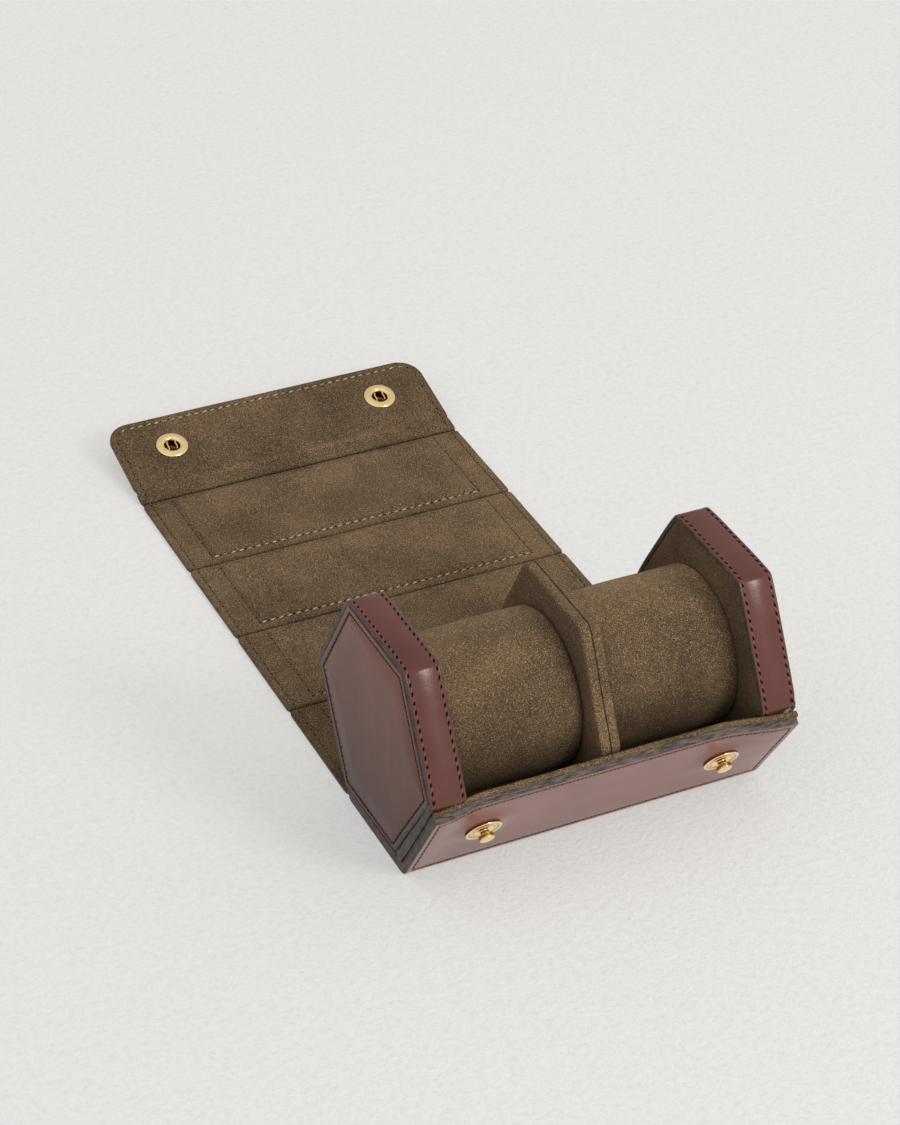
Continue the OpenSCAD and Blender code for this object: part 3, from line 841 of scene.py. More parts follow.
outer, inner = (inside_line(depth, base_back, lip_s - depth * CUT, 26)
                for depth in (WRAP_T, WRAP_T - LEATHER_T))
bm = wrap_layer(outer + inner[::-1])
rows = [fold_s + up for up in (0.6, FOLD_SEAM, 1.6)]
rows += [lip_s - LIP_SEAM + up for up in (-0.5, 0, 0.5)]
cut_across(bm, [front_spot(s, WRAP_T) for s in rows], FRONT_UP)
for above, size, steps in ((True, 0.85, 4), (False, 0.4, 3)):
    round_edges(bm, [e for e in end_edges(bm) if all(on_outside(v.co) for v in e.verts)
                     and (max(v.co.z for v in e.verts) > 0.3) == above], size, steps)
round_edges(bm, [e for e in sharp_edges(bm, 45) if min(v.co.z for v in e.verts) > mid_z - 12],
            0.3, 2)
paint(bm, lambda face, spot: 1 if abs(face.normal.x) > 0.35 else
      2 * (front_s(spot) > fold_s + 10 and face.normal.dot(FRONT_UP) > 0.5))
for v in bm.verts:
    s = front_s(v.co)
    if front_depth(v.co) > WRAP_T - 0.05 and s > fold_s:
        v.co -= FRONT_OUT * seam_depth(v.co.x, s)
lean_all(bm)


def front_seam():
    """The front panel's seam: down one side, along the fold, up and back along the lip."""
    side, low_s, high_s = wrap_half - SIDE_SEAM, fold_s + FOLD_SEAM, lip_s - LIP_SEAM - 0.8
    corners = [(-side, high_s), (-side, low_s), (side, low_s), (side, high_s), (-side, high_s)]
    path = []
    for (x0, s0), (x1, s1) in zip(corners, corners[1:]):
        for k in range(24):
            x, s = x0 + (x1 - x0) * k / 24, s0 + (s1 - s0) * k / 24
            path.append((leaned(front_spot(s, WRAP_T - 0.1, x)), FRONT_OUT))
    return path + [path[0]]


sew(bm, front_seam(), 3, 4, 3.1, (2.0, 0.8, 0.46), 20, (1.5, 0.85, 0.34))
finish_piece(bm, "wrap_and_front", [front_leather_painted_reflection, edge_paint, lip_paint, red_thread, painted_hole_shade],
             "case", ["wrap_leather"], 55)

# %% [markdown]
# The boards between leather and suede show only at their painted ends and along the
# lip, where the paint is rough and worn pale.

# %% Base and front panel: painted core

core_back = base_back_y(WRAP_T - SUEDE_T) - 0.9
low_core = inside_line(WRAP_T - LEATHER_T, core_back - 1.6, lip_s - (WRAP_T - LEATHER_T) * CUT)
high_core = inside_line(SUEDE_T, core_back, lip_s - 0.5)
bm = wrap_layer(low_core + high_core[::-1])
round_edges(bm, end_edges(bm), 0.05, 1)
paint(bm, lambda face, spot: spot.z > mid_z - 14 and abs(face.normal.x) < 0.5)
lean_all(bm)
finish_piece(bm, "painted_core", [edge_paint, lip_paint], "case", ["base_board", "front_board"],
             55)

# %% [markdown]
# The suede lies on the base and up the front panel. It is turned over the board's edge
# at the lip, where it makes a soft roll, and comes back underneath.

# %% Base and front panel: suede

top = inside_line(0, base_back_y(WRAP_T), lip_s - 1.0)
roll = [front_spot(s, depth).yz for depth, s in arc(0.75, lip_s - 0.2, 0.98, 180, 0, 10, 0.95)]
back = inside_line(SUEDE_T, core_back, lip_s - 1.6)
hem = [(base_back_y(1.9) - 0.9, 1.9), (base_back_y(1.9), 1.9)]
bm = wrap_layer(top + roll + back[::-1] + hem)
round_edges(bm, end_edges(bm), 0.08, 1)
paint(bm, lambda face, spot: abs(face.normal.x) > 0.5 and front_s(spot) <= lip_s - 1.3)
lean_all(bm)
bm.normal_update()
for v in bm.verts:
    if v.co.z > mid_z - 14:
        v.co += noise.noise_vector(v.co * 0.35) * 0.16
        v.co += v.normal * 0.22 * smooth((v.co.x - 44) / 16) * smooth((v.co.z - mid_z + 6) / 4)
finish_piece(bm, "base_suede", [suede, edge_paint], "case", ["base_lining"], 70)

# %% [markdown]
# ## Divider
# Two boards stand back to back, each in its own suede cover, with a thin dark seam
# between them. The outline is pushed out to the cover's thickness and its edges are
# rounded as pulled suede is, then the surface is given a very slight waviness.

# %% Divider

DIVIDER_TOP = 42.5                # width of its top, with sharp corners
DIVIDER_R = 5.0
div_low, div_high = cad_box("left_divider_cover")
div_z = (div_low.z + div_high.z) / 2
div_tall = (div_high.z - div_low.z) / 2
div_wide = div_high.y
for _ in range(20):               # the sharp corner beyond the rounded one
    side_turn = math.atan2(div_wide - DIVIDER_TOP / 2, div_tall)
    div_wide = div_high.y + DIVIDER_R * (1 / math.cos(side_turn) - 1)
DIVIDER = six_corners(div_wide, DIVIDER_TOP / 2, div_tall)


def divider_painted_light(co):
    """Painted highlight along the divider's edge, and painted shade where the two covers meet."""
    spot = Vector((co.y, co.z - div_z))
    gaps = []
    for here, after in zip(DIVIDER, DIVIDER[1:] + DIVIDER[:1]):
        way = (after - here).normalized()
        gaps.append((here - spot).dot(Vector((way.y, -way.x))))
    edge, middle = 1 - smooth(min(gaps) / 1.8), 1 - smooth(abs(co.x) / 0.55)
    return (0.90 + 0.28 * edge) * (1 - 0.62 * middle)


def divider_cover(side, name):
    inner, outer = in_and_out(side, f"{name}_divider_cover")
    wave = [(1 - a, 1 - b) for b, a in arc(0, 0, 1, 0, 90, 6)]
    profile = [(inner + side * (0.03 + 0.5 * a), -0.5 * b) for a, b in wave[::-1]]
    profile += [(outer - side * 1.3 * a, -1.3 * b) for a, b in wave]
    bm = bmesh.new()
    stack(bm, DIVIDER, div_z, profile, DIVIDER_R)
    cut_across(bm, [(0, y, 0) for y in range(-38, 39, 4)], (0, 1, 0))
    cut_across(bm, [(0, 0, z) for z in range(8, 82, 4)], (0, 0, 1))
    for v in bm.verts:
        v.co += noise.noise_vector(v.co * 0.12) * 0.14
    finish_piece(bm, f"{name}_divider_suede", [suede], "case", [f"{name}_divider_cover"],
                 80, divider_painted_light)


for side, name in SIDES:
    divider_cover(side, name)

# %% [markdown]
# ## Cushions
# A cushion is a firm foam roll in a suede sleeve, with a disc sewn in at each end. It is
# turned like a vase: its outline is spun about the axis. The outline swells a
# little in the middle, rounds off at the ends and dips at the end seam. Soft dents of a
# few tenths of a millimetre keep it from looking machined.

# %% Cushions


def cushion_painted_light(co):
    """Painted sheen over the top of the cushion, and painted shade that darkens it towards the
    front and the table.
    """
    turn = math.degrees(math.atan2(-co.y, co.z - mid_z))
    return 0.77 + 0.28 * smooth((85 - turn) / 75) + 0.5 * bell(turn + 24, 22)


def cushion(side, name):
    low, high = cad_box(f"{name}_cushion_cover")
    length, radius = high.x - low.x, (high.z - low.z) / 2
    half = [(0.0, 0.0)] + [(0.002 * k * k, (radius - 3.6) * k / 7) for k in range(1, 8)]
    half += [(0.45, radius - 3.4), (0.30, radius - 3.1)]
    half += arc(3.0, radius - 3.0, 3.0, 180, 90, 8, 2.85)
    half += [(3.0 + (length / 2 - 3.0) * k / 8,
              radius - 0.15 + 0.15 * math.sin(math.pi * k / 16)) for k in range(1, 9)]
    line = half + [(length - x, r) for x, r in half[-2::-1]]
    bm = bmesh.new()
    points = [bm.verts.new((low.x + x, 0, mid_z + r)) for x, r in line]
    edges = [bm.edges.new(pair) for pair in zip(points, points[1:])]
    bmesh.ops.spin(bm, geom=points + edges, cent=(0, 0, mid_z), axis=(1, 0, 0),
                   angle=2 * math.pi, steps=112, use_merge=True)
    bmesh.ops.remove_doubles(bm, verts=bm.verts, dist=0.02)
    for v in bm.verts:
        arm = Vector((0, v.co.y, v.co.z - mid_z))
        soft = noise.noise(v.co * 0.055 + Vector((side * 9, 0, 0)))
        v.co += arm.normalized() * (soft * 0.32 - 0.16) * min(1.0, arm.length / radius)
    piece = finish_piece(bm, f"{name}_cushion", [cushion_suede], "case",
                         [f"{name}_cushion_cover", f"{name}_cushion_ends", f"{name}_cushion_core"],
                         80, cushion_painted_light)


for side, name in SIDES:
    cushion(side, name)

# %% [markdown]
# ## The lid
# The lid is one long sheet with four stiff panels and a flap, so all of it is built
# the same way: a grid, slid to where detail is needed, and lifted by a height. It is
# measured along the leather: s runs from the case to the flap's end, h stands up from
# the middle of the leather. Lengths that no box or hinge tells are typed in.

# %% The lid: its measures

NECK_DEG = 13.6                   # the set of the flap in the open case
FLAP_LEN = 44.0                   # with its neck
FLAP_R = 9.6                      # rounded corners of the flap
PAD_HALF = 55.8                   # half the width of a panel's board
BOARD_T, FLAP_BOARD = 1.2, 0.5
NEAR, FAR = 5.6, 4.2              # a board starts and ends so far from its creases
neck_rise = math.radians(NECK_DEG)
FLAP_ALONG = Vector((0, math.cos(neck_rise), math.sin(neck_rise)))
FLAP_UP = Vector((0, -math.sin(neck_rise), math.cos(neck_rise)))
fold_lines = [crease[n].y for n in ("base_crease", "back_crease", "top_back_crease",
                                    "top_front_crease")]
flap_line = crease["flap_crease"]
neck_len = (flap_line.z - HINGE_H) / math.sin(neck_rise)
neck_s = flap_line.y - neck_len * math.cos(neck_rise)
NECK = Vector((0, neck_s, HINGE_H))
flap_s = neck_s + neck_len
flap_end = neck_s + FLAP_LEN
socket_run = flap_s + 19.147
panel_ends = fold_lines + [neck_s]
first_near = (WRAP_T - HINGE_H) / COS30 + 1.0
pads = [(a + (first_near if a == fold_lines[0] else NEAR), b - FAR)
        for a, b in zip(panel_ends, panel_ends[1:])]
print("creases at", [round(s, 1) for s in panel_ends], "flap", round(flap_s, 1), round(flap_end, 1))

# %% [markdown]
# Behind the last panel the sheet has taken a set and rises a little. One function turns
# (s, h) into the place in space, and the others tell the lid's outline.

# %% The lid: from its measures to space


def lay(x, s, h):
    """The place in space of a point of the lid."""
    if s <= neck_s:
        return Vector((x, s, HINGE_H + h))
    return NECK + Vector((x, 0, 0)) + FLAP_ALONG * (s - neck_s) + FLAP_UP * h


def lid_s(co):
    """How far along the lid a place lies."""
    return co.y if co.y < neck_s else neck_s + (co - NECK).dot(FLAP_ALONG)


def half_width(s):
    """Half the lid's width: nipped in at the creases and rounded at the flap's end."""
    wide = wrap_half - sum(0.55 * bell(s - c, 1.2) for c in panel_ends + [flap_s])
    over = s - (flap_end - FLAP_R)
    if over > 0:
        wide -= FLAP_R - math.sqrt(max(0.0, FLAP_R ** 2 - over ** 2))
    return wide


def edge_gap(x, s):
    """Distance of a point from the lid's cut edge."""
    gap = min(half_width(s) - abs(x), flap_end - s)
    dx, ds = abs(x) - (wrap_half - FLAP_R), s - (flap_end - FLAP_R)
    if dx > 0 and ds > 0:
        gap = FLAP_R - math.hypot(dx, ds)
    return max(0.0, gap)


def box_lift(x, s, x_half, s0, s1, slope):
    """1 on a board's rectangle, falling to 0 over a slope round it."""
    return 1 - smooth(max(abs(x) - x_half, s0 - s, s - s1) / slope)


print("half width at the flap's end:", round(half_width(flap_end), 2))

# %% [markdown]
# Each board sits in a pocket that is stitched all round it, and the flap has a seam 3 mm
# inside its edge. The seams are kept as lists, because the suede, the leather under it
# and the threads all follow them.

# %% The lid: its seams

EDGE_SEAM = 3.0
pocket_seams = []
for s0, s1 in pads:
    near, far, wide = s0 - 1.1, s1 + 1.2, PAD_HALF + 1.6
    pocket_seams.append([(-wide, near), (wide, near), (wide, far), (-wide, far), (-wide, near)])
flap_seam = [[(side * x, s) for x, s in arc(wrap_half - FLAP_R, flap_end - FLAP_R,
                                            FLAP_R - EDGE_SEAM, 0, 90, 8)]
             for side, _ in SIDES]


def furrow(x, s):
    """How deep the seams pull the suede down at a point, from 0 to 1."""
    deepest = 0.0
    for seam in pocket_seams:
        wide, near, far = seam[1][0], seam[0][1], seam[2][1]
        if near - 1.5 < s < far + 1.5:
            gap = min(abs(s - near), abs(s - far)) if abs(x) < wide else 9
            if near < s < far:
                gap = min(gap, abs(abs(x) - wide))
            deepest = max(deepest, bell(gap, 0.55))
    return max(deepest, bell(edge_gap(x, s) - EDGE_SEAM, 0.5))


print("pockets:", len(pocket_seams))

# %% [markdown]
# The suede follows the boards under it, sinks along seams and creases, and is a little
# wavy. Its colour carries painted shade in the creases and a painted shadow of the case
# on the panel next to it, and is darker along the cut edge. It carries painted highlights
# on the ridge along the flap's crease and on the flap's raw edge. Each pad is paler
# towards its far end, and the middle panels are lighter, more so to the right.

# %% The lid: heights and nap


def suede_height(x, s):
    """Height of the suede over the middle of the leather."""
    h = HINGE_H + SUEDE_T
    for s0, s1 in pads:
        h += BOARD_T * box_lift(x, s, PAD_HALF, s0, s1, 1.5)
    h += FLAP_BOARD * box_lift(x, s, wrap_half - 4.5, flap_s + 4.5, flap_end - 4.5, 1.6)
    for c in panel_ends:
        sharp = 0.40 if c == neck_s else 0.3
        h += 0.16 * bell(abs(s - c) - 1.5, 0.9) - 0.22 * bell(s - c, 1.0) - 0.5 * bell(s - c, sharp)
    h += 0.30 * bell(s - flap_s - 0.4, 1.3) - 0.12 * bell(s - flap_s + 2.2, 1.2)
    h -= 0.16 * furrow(x, s) + 0.32 * (1 - smooth(edge_gap(x, s) / 0.8))
    h += 0.12 * noise.noise(Vector((x, s, 3.0)) * 0.07)
    return h + 0.05 * noise.noise(Vector((x, s, 9.0)) * 0.3)


def lid_painted_light(co):
    """Painted light and shade over the lid's suede, on a little random tone of the nap."""
    x, s = co.x, lid_s(co)
    # A little random tone of the nap.
    tone = 1 + 0.10 * noise.noise(Vector((x, s, 30)) * 0.03)
    # Painted shade: a dark line in each crease and a darker band just past it.
    for c in panel_ends:
        past = s - c
        line, width, band = (0.78, 0.50, 2.2) if c == neck_s else (0.62, 0.36, 3.4)
        if abs(x) > PAD_HALF + 1.6:
            band *= 0.5
        tone *= 1 - line * bell(past, width) - (0.24 * (1 - smooth(past / band)) if past > 0 else 0)
    # Each pad is darker at its near end and paler at its far end.
    for s0, s1 in pads:
        inside = box_lift(x, s, PAD_HALF + 1.4, s0 - 1, s1 + 1, 0.8)
        tone *= 1 + inside * (0.16 * smooth((s - s0) / (s1 - s0)) - 0.10)
    # Painted highlight on the ridge along the flap's crease.
    tone *= 1 + 0.26 * bell(s - flap_s - 0.4, 1.1) * (1 - smooth((abs(x) - 36) / 16))
    # Painted shadow of the case on the panel next to it.
    tone *= 1 - 0.15 * (1 - smooth((s - fold_lines[1] + 4) / 8))
    # The middle panels are lighter, more so to the right.
    middle_panels = smooth((s - fold_lines[1]) / 5) * (1 - smooth((s - neck_s + 5) / 5))
    tone *= 1 + (0.16 + 0.12 * smooth(x / 60)) * middle_panels
    # Darker along the cut edge, and a painted highlight on the flap's raw edge.
    gap = edge_gap(x, s)
    return tone * (1 - 0.22 * bell(gap, 0.7)) + 1.1 * bell(gap, 0.16) * smooth((s - flap_s) / 3)


def suede_under(x, s):
    return HINGE_H - 0.01


def leather_top(x, s):
    return HINGE_H - 0.02


def leather_under(x, s):
    """Height of the leather's outside, which lies on the table."""
    h = -HINGE_H + 0.10 * furrow(x, s) + 0.25 * (1 - smooth(edge_gap(x, s) / 0.6))
    return h + sum(0.22 * bell(s - c, 0.5) for c in panel_ends)


print("suede over a board:", round(suede_height(0, sum(pads[1]) / 2), 2), "mm")

# %% [markdown]
# One function builds any stretch of the lid, as a closed sheet between two heights. The
# cut edge takes the edge paint, and the seams that cross the stretch are sewn on.

# %% The lid: one stretch of sheet


def lid_rows(s0, s1, step):
    spots = [p for a, b in pads for p in (a - 0.6, b + 0.6) if s0 < p < s1]
    creases = [c + k * 0.17 for c in panel_ends + [flap_s] for k in range(-6, 7)]
    rows = ladder(s0, s1, step, spots, 0.42, 1.3)
    rows = sorted(set(rows + [c for c in creases if s0 + 0.1 < c < s1 - 0.1]))
    rows = [r for i, r in enumerate(rows) if i == 0 or r - rows[i - 1] > 0.06 or r == s1]
    if s1 > flap_end - 1:
        start = flap_end - FLAP_R
        rows = [r for r in rows if r < start] + [s for _, s in arc(0, start, FLAP_R, 0, 90, 16)]
    return rows


def lid_sheet(bm, s0, s1, top, bottom, step):
    """A closed sheet over the lid's width from s0 to s1."""
    rows = lid_rows(s0, s1, step)
    spots = [side * x for side in (-1, 1) for x in (wrap_half - EDGE_SEAM, PAD_HALF + 1.2)]
    columns = ladder(-wrap_half, wrap_half, step, spots, 0.42, 1.3)
    columns = sorted({*columns, *(side * (wrap_half - x) for side in (-1, 1) for x in (0.25, 0.6))})
    bmesh.ops.create_grid(bm, x_segments=len(columns) - 1, y_segments=len(rows) - 1, size=1)
    below = bmesh.ops.extrude_face_region(bm, geom=bm.faces[:])["geom"]
    below = {g for g in below if isinstance(g, bmesh.types.BMVert)}
    for v in bm.verts:
        s = rows[round((v.co.y + 1) / 2 * (len(rows) - 1))]
        x = columns[round((v.co.x + 1) / 2 * (len(columns) - 1))] / wrap_half * half_width(s)
        v.co = lay(x, s, (bottom if v in below else top)(x, s))
    paint(bm, lambda face, spot: abs(face.normal.z) < 0.8 and edge_gap(spot.x, lid_s(spot)) < 0.2)


def sew_lid(bm, s0, s1, height, up, lift, thread, shaded, hole, **kind):
    """Sews all the seams that cross a stretch of the lid."""
    def row(points, index):
        path = []
        for (xa, sa), (xb, sb) in zip(points, points[1:]):
            for k in range(13):
                x, s = xa + (xb - xa) * k / 12, sa + (sb - sa) * k / 12
                if s0 - 1e-6 <= s <= s1 + 1e-6:
                    out = (lay(0, s, 1) - lay(0, s, 0)) * up
                    path.append((lay(x, s, height(x, s)) + out * lift, out))
        if len(path) > 1:
            sew(bm, path, index, hole, **kind)

    for seam in pocket_seams:
        if seam[0][1] > s0 - 0.1 and seam[2][1] < s1 + 0.1:
            row(seam[:2], thread)
            row(seam[1:], shaded)
    start, end = max(s0, fold_lines[0] + 1.5), min(s1, flap_end - FLAP_R)
    for curve in flap_seam:
        if end > start:
            row([(curve[0][0], start), (curve[0][0], end)], shaded)
        if s1 > flap_end - 1:
            row(curve[4:], thread)
            row(curve[:5], shaded)
    if s1 > flap_end - 1:
        row([curve[-1] for curve in flap_seam], thread)


def socket_holes(bm):
    """Opens both sheets of the flap under the snaps' discs, and walls the holes."""
    for side in (-1, 1):
        middle = lay(side * SNAP_X, socket_run, 0)

        def reach(v):
            arm = v.co - middle
            return (arm - FLAP_UP * arm.dot(FLAP_UP)).length

        near = [f for f in bm.faces if min(reach(v) for v in f.verts) < 3.5]
        bmesh.ops.delete(bm, geom=near, context="FACES")
        rim = [e for e in bm.edges if e.is_boundary and max(reach(v) for v in e.verts) < 8]
        bmesh.ops.bridge_loops(bm, edges=rim)


def lid_layer(kind, name, s0, s1, step, body=None, covers=()):
    """Suede or leather skin of a stretch, sewn and finished."""
    bm = bmesh.new()
    is_suede = kind == "suede"
    top, bottom = (suede_height, suede_under) if is_suede else (leather_top, leather_under)
    lid_sheet(bm, s0, s1, top, bottom, step)
    if body == "flap":
        socket_holes(bm)
    if is_suede:
        sew_lid(bm, s0, s1, top, 1, 0.06, 2, 3, 4, size=(2.3, 0.62, 0.40), slant=14,
                hole_size=(1.0, 0.6, 0.3))
        return finish_piece(bm, name, [suede, edge_paint, painted_lit_thread, painted_shaded_thread, painted_hole_shade],
                            body, covers, 60, lid_painted_light)
    sew_lid(bm, s0, s1, bottom, -1, -0.04, 2, 2, 3)
    return finish_piece(bm, name, [leather, edge_paint, dark_thread, painted_hole_shade], body, covers,
                        60)


# %% [markdown]
# Five stretches make the stiff panels and the flap. They leave the crease strips free.

# %% The lid: its panels and flap

bodies = ["case", "lower_back", "upper_back", "top_panel", "upper_front", "flap"]
joints = fold_lines + [flap_s]
for body, a, b in zip(bodies[1:], joints, joints[1:] + [flap_end]):
    name = body.removesuffix("_panel")
    is_flap = body == "flap"
    s0, s1 = a + STRIP_HALF, b if is_flap else b - STRIP_HALF
    lid_layer("suede", f"{name}_suede", s0, s1, 1.6, body, [f"{name}_lining"])
    lid_layer("skin", f"{name}_skin", s0, s1, 1.8 if is_flap else 2.4, body, [f"{name}_leather"])

# %% [markdown]
# ## Creases
# At each crease a narrow strip of the leather and one of the suede cross the hinge.
# On the real case they bend with the fold; here they are built as the lid lies open,
# and ride on no body.

# %% Creases

for before, after, line in zip(bodies, bodies[1:], joints):
    start, end = lay(0, line - STRIP_HALF, 0) * MM, lay(0, line + STRIP_HALF, 0) * MM
    for kind in ("suede", "skin"):
        back = 0.7 if before == "case" and kind == "suede" else STRIP_HALF
        piece = lid_layer(kind, f"{after}_crease_{kind}", line - back, line + STRIP_HALF, 1.2)
        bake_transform(piece)
        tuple(start)
        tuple(end)

# %% [markdown]
# ## Snaps
# The brass parts are turned on a lathe, so they are spun from half a section each.

# %% Snaps: turning


def turned(bm, profile, place):
    """Spins a closed section of (radius, height) and puts it in place."""
    start = set(bm.verts)
    points = [bm.verts.new((r, 0, h)) for r, h in profile]
    around = list(zip(points, points[1:] + points[:1]))
    edges = [bm.edges.new(pair) for pair in around if pair[0].co.x or pair[1].co.x]
    bmesh.ops.spin(bm, geom=points + edges, cent=(0, 0, 0), axis=(0, 0, 1),
                   angle=2 * math.pi, steps=56, use_merge=True)
    bmesh.ops.remove_doubles(bm, verts=[v for v in bm.verts if v not in start], dist=0.001)
    bmesh.ops.transform(bm, matrix=place, verts=[v for v in bm.verts if v not in start])


def turned_pair(name, section, places, tone, body, node):
    """A piece of two turned copies. tone(radius, height) darkens the brass: painted shade and
    painted dark reflections.
    """
    bm = bmesh.new()
    for place in places:
        turned(bm, section, place)
    backs = [place.inverted() for place in places]

    def shade(co):
        spot = min((back @ co for back in backs), key=lambda p: p.length)
        return tone(math.hypot(spot.x, spot.y), spot.z)

    finish_piece(bm, name, [brass], body, [node], 40, shade)


# %% [markdown]
# A stud has a dished disc with a raised rim, a collar, a neck and a round-shouldered
# head. It stands square on the front panel.

# %% Snaps: studs


def stud_painted_shade(r, h):
    """Painted shade in the disc's dish and groove and under the head, and a painted dark reflection
    round the head's middle.
    """
    if h < 0.7:
        return 1 - 0.42 * bell(r - 5.45, 0.3) - 0.38 * bell(r - 3.95, 0.22)
    if h < 1.75:
        return 0.30
    return 1 - 0.52 * bell(h - 2.7, 0.75) if r > 2.2 else 1.0


stud_section = (
    [(0, 0.0), (6.35, 0.0)] + arc(6.38, 0.26, 0.26, -90, 75, 7) +
    [(6.15, 0.50), (5.8, 0.42), (5.5, 0.22), (5.2, 0.10), (4.2, 0.08), (3.95, 0.16), (3.7, 0.38),
     (3.4, 0.48), (2.9, 0.48), (2.6, 0.40), (2.2, 0.34), (1.85, 0.44), (1.7, 0.60), (1.66, 0.85),
     (1.45, 1.0), (1.42, 1.60), (1.65, 1.68)] + arc(2.27, 2.16, 0.48, -85, 0, 4) +
    [(2.75, 2.7)] + arc(2.29, 3.34, 0.46, 0, 80, 5) + [(1.9, 3.86), (0, 3.9)])
tilt = Matrix.Rotation(math.radians(120), 4, "X")
stud_places = [Matrix.Translation(front_spot(snap_s, WRAP_T, side * SNAP_X)) @ tilt
               for side in (-1, 1)]
turned_pair("stud_caps", stud_section, stud_places, stud_painted_shade, "case", "studs")

# %% [markdown]
# A socket is a smooth domed ring with a rounded mouth, and a plain dome covers it on the
# flap's outside. The ring is low enough to pass the stud's disc when the lid is closed.

# %% Snaps: sockets and caps

HOLE_R = 2.85
disc_h = HINGE_H + FLAP_BOARD + SUEDE_T       # the suede's surface on the flap


def socket_painted_shade(r, h):
    """Painted shadow where the ring meets the suede, and painted shade that deepens the further
    into the hole.
    """
    if r > 3.9:
        return 1 - 0.5 * smooth((disc_h + 0.2 - h) / 0.2) if h > 0 else 1.0
    return 1 - 0.82 * smooth((disc_h + 0.5 - h) / 0.9) if h > -1.8 else 1.0


mouth = [(5.45, 0.79), (5.1, 0.90), (4.75, 0.96), (4.4, 0.94), (4.05, 0.87), (3.75, 0.75),
         (3.5, 0.58), (3.3, 0.36), (3.12, 0.08), (2.95, -0.3), (HOLE_R, -0.6)]
socket_section = ([(HOLE_R, -0.5), (3.25, -0.5), (3.25, disc_h), (6.5, disc_h)] +
                  arc(5.62, disc_h + 0.02, 0.98, 0, 84, 7, 0.74) +
                  [(r, disc_h + up) for r, up in mouth])
dome = [math.radians(a) for a in (8, 18, 30, 42, 55, 68, 80)]
cap_section = ([(0, -1.7), (2.1, -1.7), (2.55, -1.55), (2.8, -1.2), (HOLE_R, -0.5), (6.3, -0.5)] +
               [(6.3 * math.cos(a), -0.5 - 1.6 * math.sin(a)) for a in dome] + [(0, -2.1)])
set_of_flap = Matrix.Rotation(neck_rise, 4, "X")
flap_places = [Matrix.Translation(lay(side * SNAP_X, socket_run, 0)) @ set_of_flap
               for side in (-1, 1)]
turned_pair("socket_rings", socket_section, flap_places, socket_painted_shade, "flap", "sockets")
turned_pair("socket_domes", cap_section, flap_places, socket_painted_shade, "flap", "socket_caps")

# %% [markdown]
# Two spring wires cross each hole, bent into a flat S so that the straight middle grips
# the stud's neck. The wires are tubes swept along that line.

# %% Snaps: spring wires

WIRE_R = 0.28


def spring_wire(bm, place, hand):
    """A tube along a wire that bends into an S at its ends."""
    line = []
    for k in range(21):
        t = -1 + 2 * k / 20
        bow = math.copysign(0.55 * smooth((abs(t) - 0.62) / 0.38), t)
        line.append(Vector((hand * 1.75 + bow, t * 2.25, disc_h + 0.1)))
    rings = []
    for k, spot in enumerate(line):
        ahead = (line[min(k + 1, 20)] - line[max(k - 1, 0)]).normalized()
        turn = ahead.to_track_quat("Z", "Y").to_matrix().to_4x4()
        turn.translation = spot
        rings.append(bmesh.ops.create_circle(bm, cap_ends=False, segments=10, radius=WIRE_R,
                                             matrix=place @ turn)["verts"])
    for first, second in zip(rings, rings[1:]):
        loops = [e for ring in (first, second) for e in bm.edges if all(v in ring for v in e.verts)]
        bmesh.ops.bridge_loops(bm, edges=loops)
    for ring in (rings[0], rings[-1]):
        bmesh.ops.contextual_create(bm, geom=ring)


bm = bmesh.new()
for place in flap_places:
    for hand in (-1, 1):
        spring_wire(bm, place, hand)
finish_piece(bm, "spring_wires", [brass], "flap", ["socket_springs"], 40)

# %% [markdown]
# ## CAD pieces that stay
# The boards and rivets inside are right as they are. They only need a finish of
# their own, in case a cut or a wide gap shows them.

# %% Finishes for the CAD pieces

kept = {node: piece for node, piece in frame["nodes"].items() if not piece.hide_render}
for node, piece in kept.items():
    is_rivet = node == "stud_rivets"
    piece.data.materials.clear()
    piece.data.materials.append(hidden_brass if is_rivet else grey_board)
print("CAD pieces kept:", list(kept))

# %% [markdown]
# ## Floor, light and camera
# The case stands on a pale plastered floor in soft daylight. The floor glows a little for
# the camera, and more in reflections, so it stays pale and still takes the shadow.

# %% Floor

finish, tree, shader = new_finish("pale_floor", Roughness=0.85)
spot = place_of(tree, moving=False)
plug(tree, shader, Base_Color=ramp(
    tree, speckle(tree, spot, 380, 4, 0.7),
    [(0.34, (0.745, 0.736, 0.718)), (0.5, (0.825, 0.818, 0.802)), (0.7, (0.86, 0.853, 0.838))]))
bumps(tree, shader, speckle(tree, spot, 360, 6, 0.74), 1.0, 0.0010)
rays = add(tree, "ShaderNodeLightPath").outputs
share = times_plus(tree, rays["Is Camera Ray"], 0.42)
for ray in ("Is Glossy Ray", "Is Transmission Ray"):
    share = times_plus(tree, rays[ray], 0.75, share)
glow = add(tree, "ShaderNodeEmission", Color=(0.90, 0.89, 0.866, 1), Strength=1.0)
both = add(tree, "ShaderNodeMixShader", i0=share, i1=shader.outputs["BSDF"],
           i2=glow.outputs["Emission"])
plug(tree, tree.nodes["Material Output"], Surface=both.outputs["Shader"])
bm = bmesh.new()
bmesh.ops.create_grid(bm, x_segments=4, y_segments=4, size=4)
mesh = bpy.data.meshes.new("floor")
bm.to_mesh(mesh)
bm.free()
mesh.materials.append(finish)
floor = new_object("floor", mesh)
print("floor:", finish.name)

# %% [markdown]
# The world is brightest in front on the left. One lamp in front on the right, high up,
# draws the soft shadows and the gloss on the leather.

# %% Light

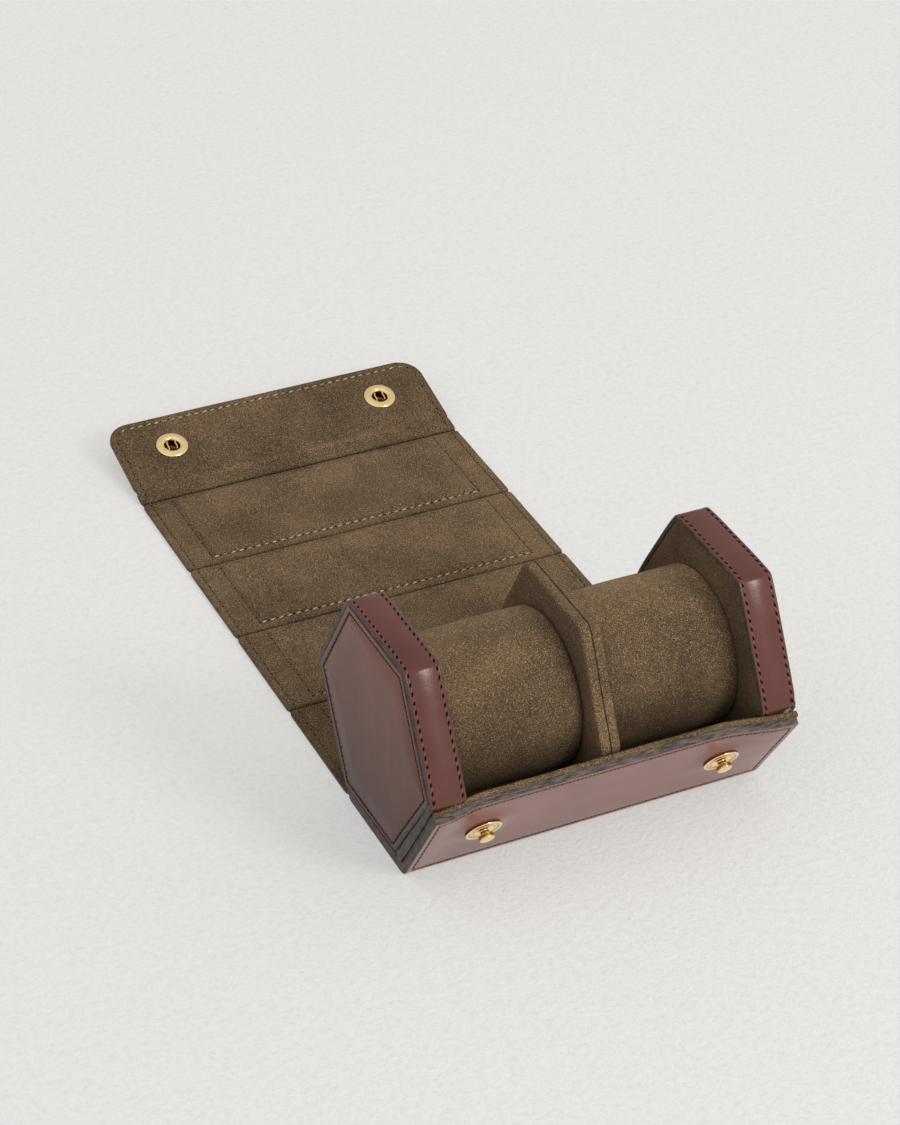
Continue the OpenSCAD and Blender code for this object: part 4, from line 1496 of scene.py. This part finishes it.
TARGET = Vector((0, 0.08, 0.02))
LAMP_WAY = Vector((0.37, -0.74, 0.55)).normalized()
lamp = bpy.data.lights.new("window", "AREA")
lamp.shape = "DISK"
lamp.size = 0.55
lamp.energy = 10.5
lamp.color = (1.0, 0.985, 0.96)
holder = new_object("window", lamp)
holder.location = TARGET + LAMP_WAY * 1.8
holder.rotation_mode = "QUATERNION"
holder.rotation_quaternion = (TARGET - holder.location).to_track_quat("-Z", "Y")
world = bpy.data.worlds.new("studio")
bpy.context.scene.world = world
world.use_nodes = True
tree = world.node_tree
way = add(tree, "ShaderNodeTexCoord").outputs["Generated"]
facing = add(tree, "ShaderNodeVectorMath", {"operation": "DOT_PRODUCT"}, i0=way,
             i1=(-0.3, -0.9, 0.3)).outputs["Value"]
plug(tree, tree.nodes["Background"], Color=(1.0, 0.995, 0.988, 1),
     Strength=spread(tree, facing, -0.7, 0.7, 0.59, 0.93))
print("lamp at", [round(c, 2) for c in holder.location])

# %% [markdown]
# The camera stands where the photograph was taken from: in front on the left, 35 degrees
# up and 1.2 m away, with a long lens and a slight roll.

# %% Camera

AZIMUTH, ELEVATION, ROLL = math.radians(-26.838), math.radians(35.169), math.radians(1.772)
DISTANCE = 1.19499
FOCAL_PX, FRAME_PX, SENSOR = 3257.913, 1125, 36.0
aim = Vector((0.604, 85.433, 40.0)) * MM
away = Vector((math.sin(AZIMUTH) * math.cos(ELEVATION), -math.cos(AZIMUTH) * math.cos(ELEVATION),
               math.sin(ELEVATION)))
level = Vector((math.cos(AZIMUTH), math.sin(AZIMUTH), 0))
steep = away.cross(level)
right = level * math.cos(ROLL) + steep * math.sin(ROLL)
upward = steep * math.cos(ROLL) - level * math.sin(ROLL)
lens = bpy.data.cameras.new("camera")
lens.sensor_width = SENSOR
lens.lens = FOCAL_PX / FRAME_PX * SENSOR
lens.clip_start, lens.clip_end = 0.05, 20
camera = new_object("camera", lens)
camera.location = aim + away * DISTANCE
camera.rotation_mode = "QUATERNION"
camera.rotation_quaternion = Matrix((right, upward, away)).transposed().to_quaternion()
bpy.context.scene.camera = camera
bpy.context.scene.view_settings.view_transform = "Standard"
print(f"lens {lens.lens:.1f} mm")
